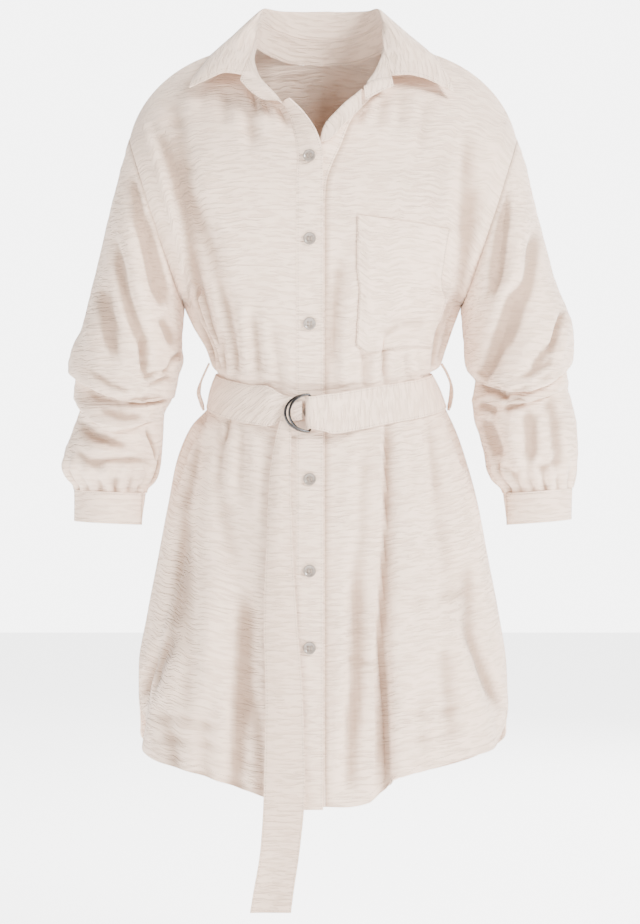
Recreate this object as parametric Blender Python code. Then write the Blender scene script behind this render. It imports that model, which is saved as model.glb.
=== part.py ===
# A belted shirt dress with a wide skirt, worn: hollow, upright, and open at neck, hem and cuffs.
# Units are millimetres in the tables and metres in the meshes. +Z is up and the front faces -Y.
# The origin is the point between the wearer's shoulders, level with the base of the neck.
# "Right" and "left" are the wearer's, so the right half is at -X.

import bmesh
import bpy
import numpy as np
from mathutils import Matrix, Vector

MM = 0.001

# Cloth and seams
CLOTH = 1.2                 # thickness of one wall of cloth
BAND_CLOTH = 1.8            # thickness of a band or belt that is sewn double
SEAM = 0.4                  # space between two pieces that lie in one surface
CORNER_SEAM = 0.95          # space at a seam where two walls meet at an angle
LAP = 3.4                   # how far the left front lies inside the right one
ARMHOLE_SEAM = (0.9, 1.5)   # space at the top and at the bottom of the armhole
SLANT_SEAM = 0.7            # half the space where a band turns away from the front
POCKET_LIFT = 1.7           # middle of the pocket's wall over the middle of the front's

# Trim
BAND_WIDTH = 30.0
BAND_FRONT = 0.6            # how far a band lies in front of its seam
BUTTON_DIAMETER = 14.0
BUTTON_THICKNESS = 2.6
BUTTON_HEIGHTS = (-124.0, -216.0, -309.5, -408.5, -483.5, -585.0, -670.0)
BUTTON_SIDES = 12
BUTTON_SHANK = 0.7          # free space under a button
BUTTON_RIM = 0.22           # share of the radius that the raised rim takes
BUTTON_DISH = 0.8           # depth of the dished middle
BELT_GAP = 1.8
RING_WIRE = 2.6
RING_HEIGHT = 42.0
GATHERS = 16                # gathers round each cuff
GATHER_DEPTH = 1.6

# Colours and gloss of the three materials
CLOTH_COLOUR = (0.76, 0.69, 0.63, 1.0)
CLOTH_ROUGHNESS = 0.85
METAL_COLOUR = (0.07, 0.07, 0.07, 1.0)
METAL_ROUGHNESS = 0.3
SHELL_COLOUR = (0.62, 0.57, 0.52, 1.0)
SHELL_ROUGHNESS = 0.3

# Points inside the body and the neck, from which the cloth's outer side is told
INSIDE = (0, 0, -400)
NECK_INSIDE = (0, 0, 0)

# Front sections from the hem up to the underarm. The inner end is at the band, the outer end at
# the side seam: height, depth, height, and half width on the right and on the left.
FRONT_ROWS = (
    # z_in  y_in  z_out  w_right w_left
    (-848, -130, -736, 212.0, 213.0),
    (-770, -128, -697, 212.0, 211.0),
    (-690, -124, -640, 202.5, 202.5),
    (-610, -119, -575, 190.0, 190.0),
    (-535, -112, -512, 178.0, 178.0),
    (-478, -104, -462, 168.0, 164.5),
    (-446, -98, -424, 152.0, 151.0),
    (-432, -95, -401, 132.0, 140.0),
    (-409, -92, -380, 126.5, 131.0),
    (-384, -91, -361, 121.0, 123.0),
    (-376, -95, -353, 127.0, 134.0),
    (-350, -99, -334, 134.0, 141.0),
    (-315, -104, -308, 149.0, 150.0),
    (-275, -110, -284.5, 160.0, 159.0),
)

# Front sections above the underarm, which end on the armhole at an angle counted from its top.
# The inner end climbs the band's seam and then the neck seam. "turn" is how many degrees the
# section curves round, and "drop" is how late along it the height is lost.
RIGHT_CHEST = (
    # x_in  y_in  z_in  angle turn drop
    (30.0, -113, -245, 150, 80, 0.00),
    (30.0, -114, -215, 124, 74, 0.05),
    (30.0, -113, -182, 104, 70, 0.08),
    (30.0, -110, -150, 86, 66, 0.12),
    (28.5, -104, -123, 70, 62, 0.20),
    (32.0, -95, -98, 58, 60, 0.30),
    (37.0, -86, -76, 48, 60, 0.40),
    (45.0, -77, -62, 40, 60, 0.50),
    (62.0, -66, -50, 30, 62, 0.60),
    (75.0, -45, -27, 20, 66, 0.75),
    (79.0, -20, -3, 10, 72, 0.90),
    (77.0, 3, 14, 0, 80, 1.00),
)
LEFT_CHEST = (
    (2.0, -113, -245, 150, 80, 0.00),
    (2.0, -114, -215, 124, 74, 0.05),
    (2.0, -113, -182, 104, 70, 0.08),
    (4.0, -109, -152, 86, 66, 0.12),
    (11.0, -101, -129, 70, 62, 0.20),
    (19.0, -95, -111, 58, 60, 0.30),
    (32.0, -88, -79, 48, 60, 0.40),
    (52.0, -76, -56, 40, 60, 0.50),
    (63.0, -66, -44, 30, 62, 0.60),
    (73.0, -45, -24, 20, 66, 0.75),
    (78.0, -20, -2, 10, 72, 0.90),
    (77.0, 3, 14, 0, 80, 1.00),
)
BAND_TOP = 21               # the section at which both bands end below the neck seam

# Back sections, from the hem up to the underarm: height and depth at the middle.
BACK_ROWS = (
    (-846, 134), (-770, 131), (-690, 125), (-610, 118), (-535, 109), (-470, 99), (-425, 88),
    (-399, 84), (-375, 81), (-352, 80), (-344, 84), (-320, 87), (-295, 91), (-262, 95),
)
BACK_CHEST = (
    # x_in  y_in  z_in  angle turn drop
    (0.0, 98, -215, 150, 84, 0.00),
    (0.0, 100, -165, 128, 78, 0.05),
    (0.0, 98, -115, 106, 72, 0.10),
    (0.0, 91, -65, 84, 68, 0.20),
    (0.0, 78, -25, 62, 66, 0.30),
    (0.0, 62, 1, 42, 66, 0.50),
    (32.0, 57, 3, 28, 68, 0.70),
    (60.0, 39, 10, 13, 74, 0.90),
    (77.0, 3, 14, 0, 80, 1.00),
)
BACK_NECK = 19              # the section that ends at the middle of the back neck

# Free edges of the bands where they leave the straight front edge: section, middle, free edge.
RIGHT_BAND = (
    (17, (-15, -112, -150), (0, -112, -150)),
    (18, (-15, -107, -123), (0, -108, -123)),
    (19, (-20, -103, -98), (-6, -108, -99)),
    (20, (-30, -97, -74), (-22, -105, -74)),
    (21, (-43, -90, -59), (-38, -101, -58)),
)
LEFT_BAND = (
    (16, (-13, -110, -182), (-27.5, -110, -182)),
    (17, (-10, -106, -151), (-25, -106, -149)),
    (18, (-3, -102, -118), (-14, -102, -110)),
    (19, (1, -101, -92), (4, -107.5, -106)),
    (20, (21, -99, -67), (24, -106, -87)),
    (21, (43.5, -92, -47.5), (43, -100, -68)),
)

RIGHT_BAND_STEPS = (0, 1, 2)
LEFT_BAND_STEPS = (0, 0.5, 0.8, 1, 1.2, 1.5, 2)
LEFT_BAND_MORE = (18.25, 18.5, 18.75)   # further sections where the left band turns over

# The hem's height round each piece, from its middle (0) to its side seam (1).
RIGHT_HEM = ((0, -848), (0.13, -833), (0.3, -820), (0.5, -807), (0.75, -797), (0.87, -790),
             (0.94, -764), (1, -736))
LEFT_HEM = ((0, -845), (0.07, -846), (0.15, -842), (0.19, -830), (0.22, -818), (0.39, -805),
            (0.53, -796), (0.74, -789), (0.85, -782), (0.93, -764), (1, -736))
BACK_HEM = ((0, -846), (0.3, -838), (0.6, -815), (0.82, -788), (0.93, -762), (1, -736))

# The armhole's top and bottom, and how far it bulges to the front and back.
ARMHOLE_TOP = (223.0, 4.0, -92.0)
ARMHOLE_BOTTOM = (160.0, 0.0, -284.5)
ARMHOLE_FRONT = 74.0
ARMHOLE_BACK = 76.0

# Folds: place across the piece (0 to 1) and height at the top and bottom end, depth (inwards is
# below 0) and half width. Each fades out at its ends.
RIGHT_FOLDS = (
    # u_top z_top  u_low  z_low  depth  width
    (0.90, -130, 0.80, -372, -5.0, 16),
    (0.72, -262, 0.735, -362, -4.5, 7),
    (0.60, -292, 0.59, -366, -4.0, 7),
    (0.84, -300, 0.86, -365, -4.0, 8),
    (0.80, -412, 0.86, -500, -5.0, 9),
    (0.62, -418, 0.60, -560, -4.0, 12),
    (0.33, -434, 0.26, -800, -6.0, 26),
    (0.72, -520, 0.90, -770, -9.0, 24),
    (0.45, -560, 0.52, -800, 5.0, 34),
    (0.10, -600, 0.11, -830, -4.0, 16),
)
LEFT_FOLDS = (
    (0.90, -130, 0.88, -372, -4.0, 16),
    (0.80, -262, 0.74, -362, -4.5, 10),
    (0.46, -330, 0.45, -368, -3.0, 8),
    (0.24, -335, 0.26, -370, -3.0, 8),
    (0.88, -408, 0.90, -480, -5.0, 9),
    (0.33, -430, 0.205, -830, -10.0, 17),
    (0.40, -440, 0.30, -800, 4.0, 24),
    (0.15, -560, 0.12, -760, -4.0, 16),
    (0.62, -420, 0.58, -640, -5.0, 22),
    (0.72, -560, 0.82, -760, -7.0, 24),
)
BACK_FOLDS = (
    (0.20, -55, 0.30, -345, -3.0, 22),
    (0.60, -170, 0.45, -348, -5.0, 20),
    (0.84, -235, 0.76, -352, -5.0, 14),
    (0.13, -260, 0.12, -350, -4.0, 10),
    (0.10, -402, 0.06, -780, -6.0, 24),
    (0.34, -402, 0.30, -800, -9.0, 24),
    (0.58, -400, 0.56, -790, -8.0, 26),
    (0.78, -404, 0.80, -740, -7.0, 22),
)

# Where each piece has its columns (0 at the middle, 1 at the side) and its sections.
POCKET_COLUMNS = (3, 11)
# The pocket's lower edge is a blunt point: share of a section's height at each column.
POCKET_POINT = np.array([0.0, 0.55, 0.5, 0.38, 0.25, 0.3, 0.35, 0.42, 0.45])
FRONT_COLUMNS = (0, 0.05, 0.1, 0.155, 0.21, 0.28, 0.35, 0.42, 0.48, 0.54, 0.6, 0.655, 0.71, 0.76,
                 0.81, 0.86, 0.91, 0.955, 1)
FRONT_SECTIONS = (0, 0.4, 1, 1.5, 2, 2.5, 3, 3.5, 4, 5, 6, 7, 8, 9, 10, 11, 11.46, 12, 13, 14, 15,
                  15.9, 16.5, 17, 18, 19, 20, 21, 22, 23, 24, 25)
POCKET_SECTIONS = (16, 21)
BACK_COLUMNS = (0, 0.08, 0.16, 0.24, 0.33, 0.42, 0.51, 0.6, 0.69, 0.78, 0.86, 0.93, 1)
BACK_SECTIONS = (0, 0.4, 1, 1.5, 2, 2.5, 3, 3.5, 4, 5, 6, 7, 8, 9, 10, 11, 12, 13, 14, 15, 16, 17,
                 18, 19, 20, 21, 22)

# Sleeve sections from the armhole to the cuff. Outer and inner edge as seen from the front, the
# reach to the front and back, and how much lower the front and back hang than the edges.
RIGHT_SLEEVE = (
    # x_out z_out x_in z_in front sag back sag
    (234, -133, 160.5, -291, 79, 0, 79, 0),
    (246, -180, 161, -298, 82, 0, 80, 0),
    (258, -232, 162, -306, 82, 0, 78, 0),
    (269, -276, 163, -318, 79, -3, 74, -3),
    (277, -308, 163, -332, 78, -8, 72, -6),
    (290, -336, 161.5, -346, 80, -18, 72, -12),
    (293, -352, 167, -366, 83, -26, 74, -18),
    (293, -360, 172, -389, 81, -20, 73, -14),
    (285, -365, 173, -386, 65, -9, 62, -5),
    (286, -376, 176, -394, 70, -11, 66, -8),
    (286.5, -390, 181, -402, 76, -15, 68, -12),
    (280, -400, 184, -409, 79, -21, 70, -16),
    (279.5, -404, 184, -414, 66, -12, 62, -8),
    (287, -425, 185, -432, 67, -10, 58, -6),
    (297, -453, 187, -455, 66, -5, 50, -4),
    (300, -468, 191, -474, 60, -2, 44, -2),
    (295, -481, 197, -487, 48, 0, 32, 0),
    (286.5, -491, 205, -495, 37, 0, 19, 0),
)
LEFT_SLEEVE = (
    (232, -118, 159.5, -289, 79, 0, 79, 0),
    (243, -165, 160, -297, 82, 0, 80, 0),
    (256, -215, 161, -306, 82, 0, 78, 0),
    (268, -258, 162, -318, 79, -3, 74, -3),
    (279, -284, 163, -331, 78, -7, 72, -6),
    (288, -312, 163.5, -344, 80, -15, 72, -12),
    (288.5, -338, 167, -358, 83, -23, 74, -18),
    (285.5, -352, 176, -370, 81, -23, 73, -16),
    (280, -358, 176, -375, 66, -11, 62, -6),
    (281, -366, 173.5, -387, 71, -12, 66, -8),
    (282.5, -373, 172, -393, 76, -14, 68, -10),
    (282, -380, 173, -398, 66, -6, 60, -5),
    (288, -402, 175, -414, 69, -4, 62, -4),
    (292, -425, 180, -431, 68, -2, 58, -2),
    (293, -448, 186, -451, 64, -2, 52, -2),
    (291, -466, 189.5, -469, 58, 0, 44, 0),
    (289, -479, 196, -484, 48, 0, 32, 0),
    (287, -489, 207, -495, 37, 0, 19, 0),
)
# Cuffs: the same columns for the top and the bottom.
RIGHT_CUFF = ((286.5, -496, 205, -500, 36, 0, 18, 0), (286.5, -532, 210, -536, 35, 0, 18, 0))
LEFT_CUFF = ((287, -494, 208, -500, 36, 0, 18, 0), (286, -530, 213, -536, 35, 0, 18, 0))
CUFF_START = 110            # degrees round from the outer edge where the under layer starts
CUFF_LAP = 40               # degrees by which the outer layer laps over it
CUFF_FLARE = (0.4, 1.0, 2.2)   # how far the outer layer's end stands off, by row
CUFF_LIFT = 2.6             # middle of the outer layer over the middle of the under layer

# Collar stations from the right front round the back to the left front: neck seam, roll of the
# stand, seam between stand and collar, crown, fall and outer edge. A neck point left out is taken
# from the front or back piece, and only the stand reaches the stations without a crown.
COLLAR = (
    ((-66, -92, -59), (-81, -90, -49), (-93, -84, -36), None, None, None),
    ((-50, -101, -61), (-64, -97, -48), (-91, -82, -29), (-111, -76, -26), (-131, -70, -33),
     (-151, -63, -41)),
    (None, (-57, -92, -49), (-88, -75, -20), (-110, -71, -16), (-131, -65, -22), (-149, -57, -33)),
    (None, (-70, -74, -34), (-84, -58, -6), (-107, -57, -3), (-129, -53, -10), (-145, -48, -24)),
    (None, (-78, -47, -10), (-81, -42, 6), (-101, -42, 10), (-122, -39, 2), (-138, -35, -12)),
    (None, (-80, -21, 13), (-77, -22, 29), (-80, -20, 43), (-107, -17, 22), (-128, -13, 4)),
    (None, (-76, 4, 30), (-73, 4, 45), (-69, 4, 59), (-92, 9, 36), (-115, 14, 13)),
    (None, (-58, 40, 26), (-55, 37, 40), (-52, 41, 63), (-67, 54, 38), (-88, 64, 15)),
    (None, (-31, 57, 19), (-30, 54, 34), (-28, 59, 65), (-36, 73, 39), (-46, 86, 15)),
    (None, (0, 62, 17), (0, 59, 32), (0, 63, 66), (0, 78, 39), (0, 92, 15)),
    (None, (31, 57, 19), (30, 54, 34), (28, 59, 65), (36, 73, 39), (46, 86, 15)),
    (None, (58, 40, 26), (55, 37, 40), (52, 41, 63), (67, 54, 38), (88, 64, 15)),
    (None, (74, 4, 30), (69, 4, 45), (64, 4, 59), (88, 9, 38), (113, 14, 17)),
    (None, (75, -21, 14), (68, -22, 30), (72, -20, 43), (98, -17, 24), (124, -13, 5)),
    (None, (67, -47, -6), (69, -43, 8), (87, -43, 16), (109, -40, 8), (132, -36, -5)),
    (None, (57, -72, -27), (74, -61, -13), (94, -58, -8), (117, -55, -12), (140, -50, -23)),
    (None, (50, -84, -38), (77, -75, -29), (100, -73, -28), (125, -67, -35), (149, -62, -47)),
    ((48.6, -84.5, -47.0), (56, -85, -37), (77.5, -77, -32), None, None, None),
    ((45.6, -93, -44.0), (58, -89, -39), (78, -80, -36), None, None, None),
    ((47.5, -100, -60), (62, -93, -51), (79, -83, -42), None, None, None),
)
STAND_STEPS = (0, 0.45, 1, 1.5, 2)
LEAF_STEPS = (0, 0.55, 1, 1.35, 2, 3)

# The belt's right end turns back round the rings' bars. Its left end passes under the rings.
BELT_FOLD = (
    # x  y  z_top  z_low
    (-3, -98.4, -391, -428),
    (-12, -98.7, -391, -427),
    (-17.4, -100.3, -391, -427),
    (-19.0, -102.9, -391, -427),
    (-17.4, -105.5, -391, -427),
    (-12, -107.2, -391, -427),
    (2, -106.2, -389, -430),
    (18, -103.5, -387, -432),
)
BELT_END = ((-62, -95.5, -379, -424), (-47, -98.4, -388, -420), (-34, -99.6, -392, -418),
            (-23.5, -100.2, -394, -417))
BELT_SECTIONS = (8.84, 8, 7)
BELT_START = 0.35           # share of the front's width at which it leaves the cloth

# Sections of the free end: height, left and right edge, depth, and how far its middle stands out.
TAIL = (
    # z     left   right  y     bulge
    (-397, -41.5, -31.0, -103.6, 0.0),
    (-412, -46.0, -35.5, -104.2, 0.3),
    (-432, -51.5, -35.5, -104.9, 1.5),
    (-484, -59.5, -36.0, -111.5, 5.0),
    (-554, -62.5, -34.0, -119.0, 4.5),
    (-638, -65.5, -29.0, -127.0, 3.5),
    (-727, -63.5, -22.3, -133.0, 3.0),
    (-821, -65.2, -20.0, -138.0, 2.0),
    (-889, -69.0, -25.5, -140.0, -2.0),
    (-934, -76.2, -32.0, -140.0, -3.0),
    (-960, -80.6, -35.4, -140.0, -1.0),
)

# The two rings: the bar's depth, and the depth and place of the bow's furthest point.
RING_BAR_X = -13.5
RING_CENTRE_Z = -409.4
RINGS = (
    # bar_y  bow_y  bow_x
    (-101.3, -109.4, -42.5),
    (-104.6, -113.2, -40.5),
)

# Belt loops at the side seams, as seen from the front.
LOOP_WIDTH = 6.0
LOOP_THICKNESS = 1.5
RIGHT_LOOP = ((-131.2, -350), (-136, -360), (-141, -372), (-143.5, -384), (-140.5, -395),
              (-137.6, -404.5))
LEFT_LOOP = ((136.4, -350.5), (142.6, -361), (147.5, -374), (148, -386), (146.5, -396),
             (144.6, -404.5))


# Curves through tables

def steady(knots, rows, at):
    """Read a table between its rows by a cubic that doesn't overshoot them."""
    knots = np.asarray(knots, float)
    rows = np.asarray(rows, float)
    at = np.atleast_1d(np.asarray(at, float))
    step = np.diff(knots)
    slope = (np.diff(rows, axis=0).T / step).T
    inner = slope[:-1] * slope[1:]
    total = slope[:-1] + slope[1:]
    bend = np.where(inner > 0, 2 * inner / np.where(total == 0, 1, total), 0)
    tangent = np.concatenate([slope[:1], bend, slope[-1:]])
    place = np.clip(np.searchsorted(knots, at, side="right") - 1, 0, len(knots) - 2)
    t = ((at - knots[place]) / step[place]).reshape([-1] + [1] * (rows.ndim - 1))
    h = step[place].reshape(t.shape)
    return (
        (2 * t**3 - 3 * t**2 + 1) * rows[place]
        + (t**3 - 2 * t**2 + t) * h * tangent[place]
        + (3 * t**2 - 2 * t**3) * rows[place + 1]
        + (t**3 - t**2) * h * tangent[place + 1]
    )


def rounded(rows, at):
    """Read evenly spaced rows by a curve that swings through them."""
    rows = np.asarray(rows, float)
    at = np.atleast_1d(np.asarray(at, float))
    before = np.concatenate([2 * rows[:1] - rows[1:2], rows, 2 * rows[-1:] - rows[-2:-1]])
    tangent = (before[2:] - before[:-2]) / 2
    place = np.clip(np.floor(at).astype(int), 0, len(rows) - 2)
    t = (at - place).reshape([-1] + [1] * (rows.ndim - 1))
    return (
        (2 * t**3 - 3 * t**2 + 1) * rows[place]
        + (t**3 - 2 * t**2 + t) * tangent[place]
        + (3 * t**2 - 2 * t**3) * rows[place + 1]
        + (t**3 - t**2) * tangent[place + 1]
    )


def ease(value, start, end):
    """0 at start and 1 at end, with a smooth way between."""
    t = np.clip((value - start) / (end - start), 0, 1)
    return t * t * (3 - 2 * t)


def unit(vectors):
    return vectors / np.maximum(np.linalg.norm(vectors, axis=-1, keepdims=True), 1e-9)


def facing(grid):
    """The direction square to a grid of points at each of them."""
    return unit(np.cross(np.gradient(grid, axis=1), np.gradient(grid, axis=0)))


# The body

def armhole(angle, back=False):
    """A point on the armhole, by degrees from its top, for a side at +X."""
    top = np.array(ARMHOLE_TOP)
    low = np.array(ARMHOLE_BOTTOM)
    a = np.radians(angle)
    bulge = ARMHOLE_BACK if back else -ARMHOLE_FRONT
    point = (top + low) / 2 + (top - low) / 2 * np.cos(a)
    return point + np.array([0, bulge * np.sin(a), 0])


def section_table(piece):
    """Rows of inner end, outer end, turn and drop for one half of the front or back."""
    table = []
    if piece == "back":
        for (z_in, y_in), (_, _, z_out, w_right, w_left) in zip(BACK_ROWS, FRONT_ROWS):
            table.append((0, y_in, z_in, (w_right + w_left) / 2, 0, z_out, 90, 0))
        chest = BACK_CHEST
    else:
        for z_in, y_in, z_out, w_right, w_left in FRONT_ROWS:
            x_in, width = (BAND_WIDTH, w_right) if piece == "right" else (2, w_left)
            table.append((x_in, y_in, z_in, width, 0, z_out, 90, 0))
        chest = RIGHT_CHEST if piece == "right" else LEFT_CHEST
    for x_in, y_in, z_in, angle, turn, drop in chest:
        table.append((x_in, y_in, z_in, *armhole(angle, piece == "back"), turn, drop))
    return np.array(table, float)


def body(piece, us, vs, side=1, trim=True):
    """Points of a half of the front or back, before its folds, for a side at +X or -X."""
    table = section_table(piece)
    last = len(table) - 1
    vs = np.asarray(vs, float)
    if trim:
        vs = np.where(vs >= last, last - 0.5 * CORNER_SEAM / 25, vs)
    rows = steady(np.arange(last + 1), table, vs)[:, None, :]
    width = rows[..., 3]
    if piece == "back" and side < 0:
        width = width + width_difference(vs)[:, None] / 2
    if piece == "back" and side > 0:
        width = width - width_difference(vs)[:, None] / 2
    inner, outer = rows[..., 0:3], np.stack([width, rows[..., 4], rows[..., 5]], axis=-1)
    length = np.linalg.norm(outer - inner, axis=-1) * 1.12
    us = np.asarray(us, float)[None, :] * np.ones((len(vs), 1))
    if trim:
        slant = ease(vs[:, None], 16, 18)
        start = (SEAM / 2 + (SLANT_SEAM - SEAM / 2) * slant) / length
        if piece == "back":
            start = 0
        end = np.where(vs[:, None] > 13, SEAM, SEAM / 2) / length
        us = start + us * (1 - start - end)
    turn = np.radians(rows[..., 6])
    along = np.sin(turn * us) / np.sin(turn)
    across = (1 - np.cos(turn * us)) / (1 - np.cos(turn))
    drop = rows[..., 7]
    x = inner[..., 0] + (outer[..., 0] - inner[..., 0]) * along
    y = inner[..., 1] + (outer[..., 1] - inner[..., 1]) * across
    z = inner[..., 2] + (outer[..., 2] - inner[..., 2]) * ((1 - drop) * us + drop * across)
    hem = {"right": RIGHT_HEM, "left": LEFT_HEM, "back": BACK_HEM}[piece]
    hem_u, hem_z = zip(*hem)
    level = steady(hem_u, hem_z, us.ravel()).reshape(us.shape)
    share = np.clip(1 - vs, 0, 1)[:, None]
    z = z + share * (level - z) * share
    if piece == "left":
        y = y + LAP * (1 - ease(us, 0.0, 0.6)) * (1 - ease(vs, 18, 21))[:, None]
    return np.stack([side * x, y, z], axis=-1)


def width_difference(vs):
    """How much wider the right half is than the left, by section."""
    rows = [row[3] - row[4] for row in FRONT_ROWS] + [0] * len(BACK_CHEST)
    return steady(np.arange(len(rows)), rows, vs)


def folded(grid, folds, edges=(14.0, 22.0)):
    """Press a table of folds into a grid, fading them towards its inner and outer edge."""
    normal = facing(grid)
    along = np.linalg.norm(np.diff(grid, axis=1), axis=-1)
    reach = np.concatenate([np.zeros((len(grid), 1)), np.cumsum(along, axis=1)], axis=1)
    length = reach[:, -1:]
    z = grid[..., 2]
    push = np.zeros(z.shape)
    for u_top, z_top, u_low, z_low, depth, width in folds:
        t = (z_top - z) / (z_top - z_low)
        centre = (u_top + (u_low - u_top) * np.clip(t, 0, 1)) * length
        end = 1.0 if z_low < -700 else ease(t, 1.0, 0.75)
        push += depth * ease(t, 0.0, 0.25) * end * np.exp(-(((reach - centre) / width) ** 2))
    push *= ease(reach, 0, edges[0]) * ease(length - reach, 0, edges[1])
    return grid + normal * push[..., None]


def front_grid(piece):
    side = -1 if piece == "right" else 1
    grid = body(piece, FRONT_COLUMNS, FRONT_SECTIONS, side)
    folds = RIGHT_FOLDS if piece == "right" else LEFT_FOLDS
    if side > 0:
        return folded(grid, folds)
    return mirrored(folded(mirrored(grid), folds))


def mirrored(grid):
    return grid * np.array([-1, 1, 1])


# Meshes

def clear_scene():
    for thing in list(bpy.data.objects):
        bpy.data.objects.remove(thing, do_unlink=True)


def material(name, colour, roughness, metallic):
    finish = bpy.data.materials.new(name)
    finish.use_nodes = True
    shader = finish.node_tree.nodes["Principled BSDF"]
    shader.inputs["Base Color"].default_value = colour
    shader.inputs["Roughness"].default_value = roughness
    shader.inputs["Metallic"].default_value = metallic
    return finish


def cloth_material(name):
    return material(name, CLOTH_COLOUR, CLOTH_ROUGHNESS, 0.0)


def grid_faces(mesh, points, wrap=False):
    """Add a grid of points and its faces to a mesh."""
    rows = [[mesh.verts.new(Vector(p) * MM) for p in row] for row in points]
    for low, high in zip(rows, rows[1:]):
        count = len(low) if wrap else len(low) - 1
        for i in range(count):
            j = (i + 1) % len(low)
            mesh.faces.new((low[i], low[j], high[j], high[i]))
    return rows


def sheet_object(name, grids, outward, thickness=CLOTH, wrap=False, weld=0.0):
    """Make a piece of cloth from grids of points and give its wall a thickness.

    outward is a point inside the garment: the sheet's faces are turned away from it."""
    mesh = bmesh.new()
    for points in grids:
        grid_faces(mesh, points, wrap)
    if weld:
        bmesh.ops.remove_doubles(mesh, verts=mesh.verts, dist=weld * MM)
    bmesh.ops.recalc_face_normals(mesh, faces=mesh.faces)
    mesh.faces.ensure_lookup_table()
    centre = Vector(outward) * MM
    away = sum(f.normal.dot(f.calc_center_median() - centre) * f.calc_area() for f in mesh.faces)
    if away < 0:
        bmesh.ops.reverse_faces(mesh, faces=mesh.faces)
    thing = finish_object(name, mesh, cloth_material(name + "_cloth"))
    wall = thing.modifiers.new("Wall", "SOLIDIFY")
    wall.thickness = thickness * MM
    wall.offset = 0
    return thing


def finish_object(name, mesh, finish, smooth=True):
    data = bpy.data.meshes.new(name)
    mesh.to_mesh(data)
    mesh.free()
    thing = bpy.data.objects.new(name, data)
    bpy.context.scene.collection.objects.link(thing)
    data.materials.append(finish)
    if smooth:
        data.shade_smooth()
        data.set_sharp_from_angle(angle=np.radians(40))
    return thing


# Pieces of the body

def make_fronts():
    for piece in ("right", "left"):
        grid = front_grid(piece)
        sheet_object("front_" + piece, [grid], INSIDE)


def make_back():
    halves = []
    for side in (-1, 1):
        grid = body("back", BACK_COLUMNS, BACK_SECTIONS, side)
        straight = grid if side > 0 else mirrored(grid)
        grid = folded(straight, BACK_FOLDS, edges=(1.0, 22.0))
        halves.append(grid if side > 0 else mirrored(grid))
    meet = BACK_SECTIONS.index(BACK_NECK)
    for half in halves:
        half[: meet + 1, 0, 0] = 0
    for rows in zip(halves[0][: meet + 1], halves[1][: meet + 1]):
        middle = (rows[0][0] + rows[1][0]) / 2
        rows[0][0] = middle
        rows[1][0] = middle
    sheet_object("back", halves, INSIDE, weld=0.01)


def make_pocket():
    """The patch pocket lies on the left front, on that piece's own points."""
    grid = front_grid("left")
    low, high = POCKET_SECTIONS
    inner, outer = POCKET_COLUMNS
    patch = grid + outward_of(grid, INSIDE) * POCKET_LIFT
    patch = patch[low : high + 1, inner : outer + 1]
    patch[0] += (patch[0] - patch[1]) * POCKET_POINT[:, None]
    sheet_object("pocket", [patch], INSIDE)


def outward_of(grid, centre):
    normal = facing(grid)
    away = np.sum(normal * (grid - np.array(centre)), axis=-1)
    return normal * (1 if np.mean(away) > 0 else -1)


def band_places(piece):
    more = LEFT_BAND_MORE if piece == "left" else ()
    return sorted([v for v in FRONT_SECTIONS if v <= BAND_TOP] + list(more))


def band_sections(piece):
    """The seam, middle and free edge of a band at each section up to the neck."""
    side = -1 if piece == "right" else 1
    sections = band_places(piece)
    seam = body(piece, [0], sections, side, trim=False)[:, 0]
    table = RIGHT_BAND if piece == "right" else LEFT_BAND
    first = table[0][0]
    direction = np.array([1.0, 0, 0]) if piece == "right" else np.array([-1.0, 0, 0])
    straight = [v for v in sections if v < first]
    knots, middles, frees = [], [], []
    for v in straight:
        point = seam[sections.index(v)]
        knots.append(v)
        middles.append(point + direction * BAND_WIDTH / 2 - (0, BAND_FRONT, 0))
        frees.append(point + direction * BAND_WIDTH - (0, BAND_FRONT, 0))
    for v, middle, free in table:
        knots.append(v)
        middles.append(middle)
        frees.append(free)
    return seam, steady(knots, middles, sections), steady(knots, frees, sections)


def band_grid(piece):
    """Points across a band, rounded where it rolls over, a little short of its seams."""
    seam, middle, free = band_sections(piece)
    space = SEAM / 2 + (SLANT_SEAM - SEAM / 2) * ease(np.array(band_places(piece)), 16, 18)
    seam = seam + unit(middle - seam) * space[:, None]
    steps = RIGHT_BAND_STEPS if piece == "right" else LEFT_BAND_STEPS
    path = np.stack([seam, middle, free], axis=1)
    grid = np.array([rounded(row, steps) for row in path])
    grid[-1] -= unit(grid[-1] - grid[-2]) * SEAM / 2
    return grid


def make_bands():
    for piece in ("right", "left"):
        sheet_object("band_" + piece, [band_grid(piece)], INSIDE, thickness=BAND_CLOTH)


# Sleeves and cuffs

def ring(row, degrees, side):
    """Points round a sleeve or cuff, from its outer edge over the front to its inner edge."""
    x_out, z_out, x_in, z_in, front, front_sag, back, back_sag = row
    a = np.radians(degrees)
    cos, sin = np.cos(a), np.sin(a)
    reach = np.where(sin > 0, front, back)
    sag = np.where(sin > 0, front_sag, back_sag)
    x = (x_out + x_in) / 2 + (x_out - x_in) / 2 * cos
    z = (z_out + z_in) / 2 + (z_out - z_in) / 2 * cos + sag * sin**2
    y = -reach * sin
    return np.stack([side * x, y, z], axis=-1)


def armhole_ring(degrees, side):
    """The armhole's own points, moved out along the arm by the seam."""
    top = np.array(ARMHOLE_TOP)
    low = np.array(ARMHOLE_BOTTOM)
    along = unit(top - low)
    out = np.array([along[2], 0, -along[0]])
    points = []
    for d in degrees:
        turned = d % 360
        back = turned > 180
        point = armhole(turned if not back else 360 - turned, back)
        share = (1 - np.cos(np.radians(turned))) / 2
        space = ARMHOLE_SEAM[0] + (ARMHOLE_SEAM[1] - ARMHOLE_SEAM[0]) * share
        points.append(point + out * space)
    return np.array(points) * np.array([side, 1, 1])


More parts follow.
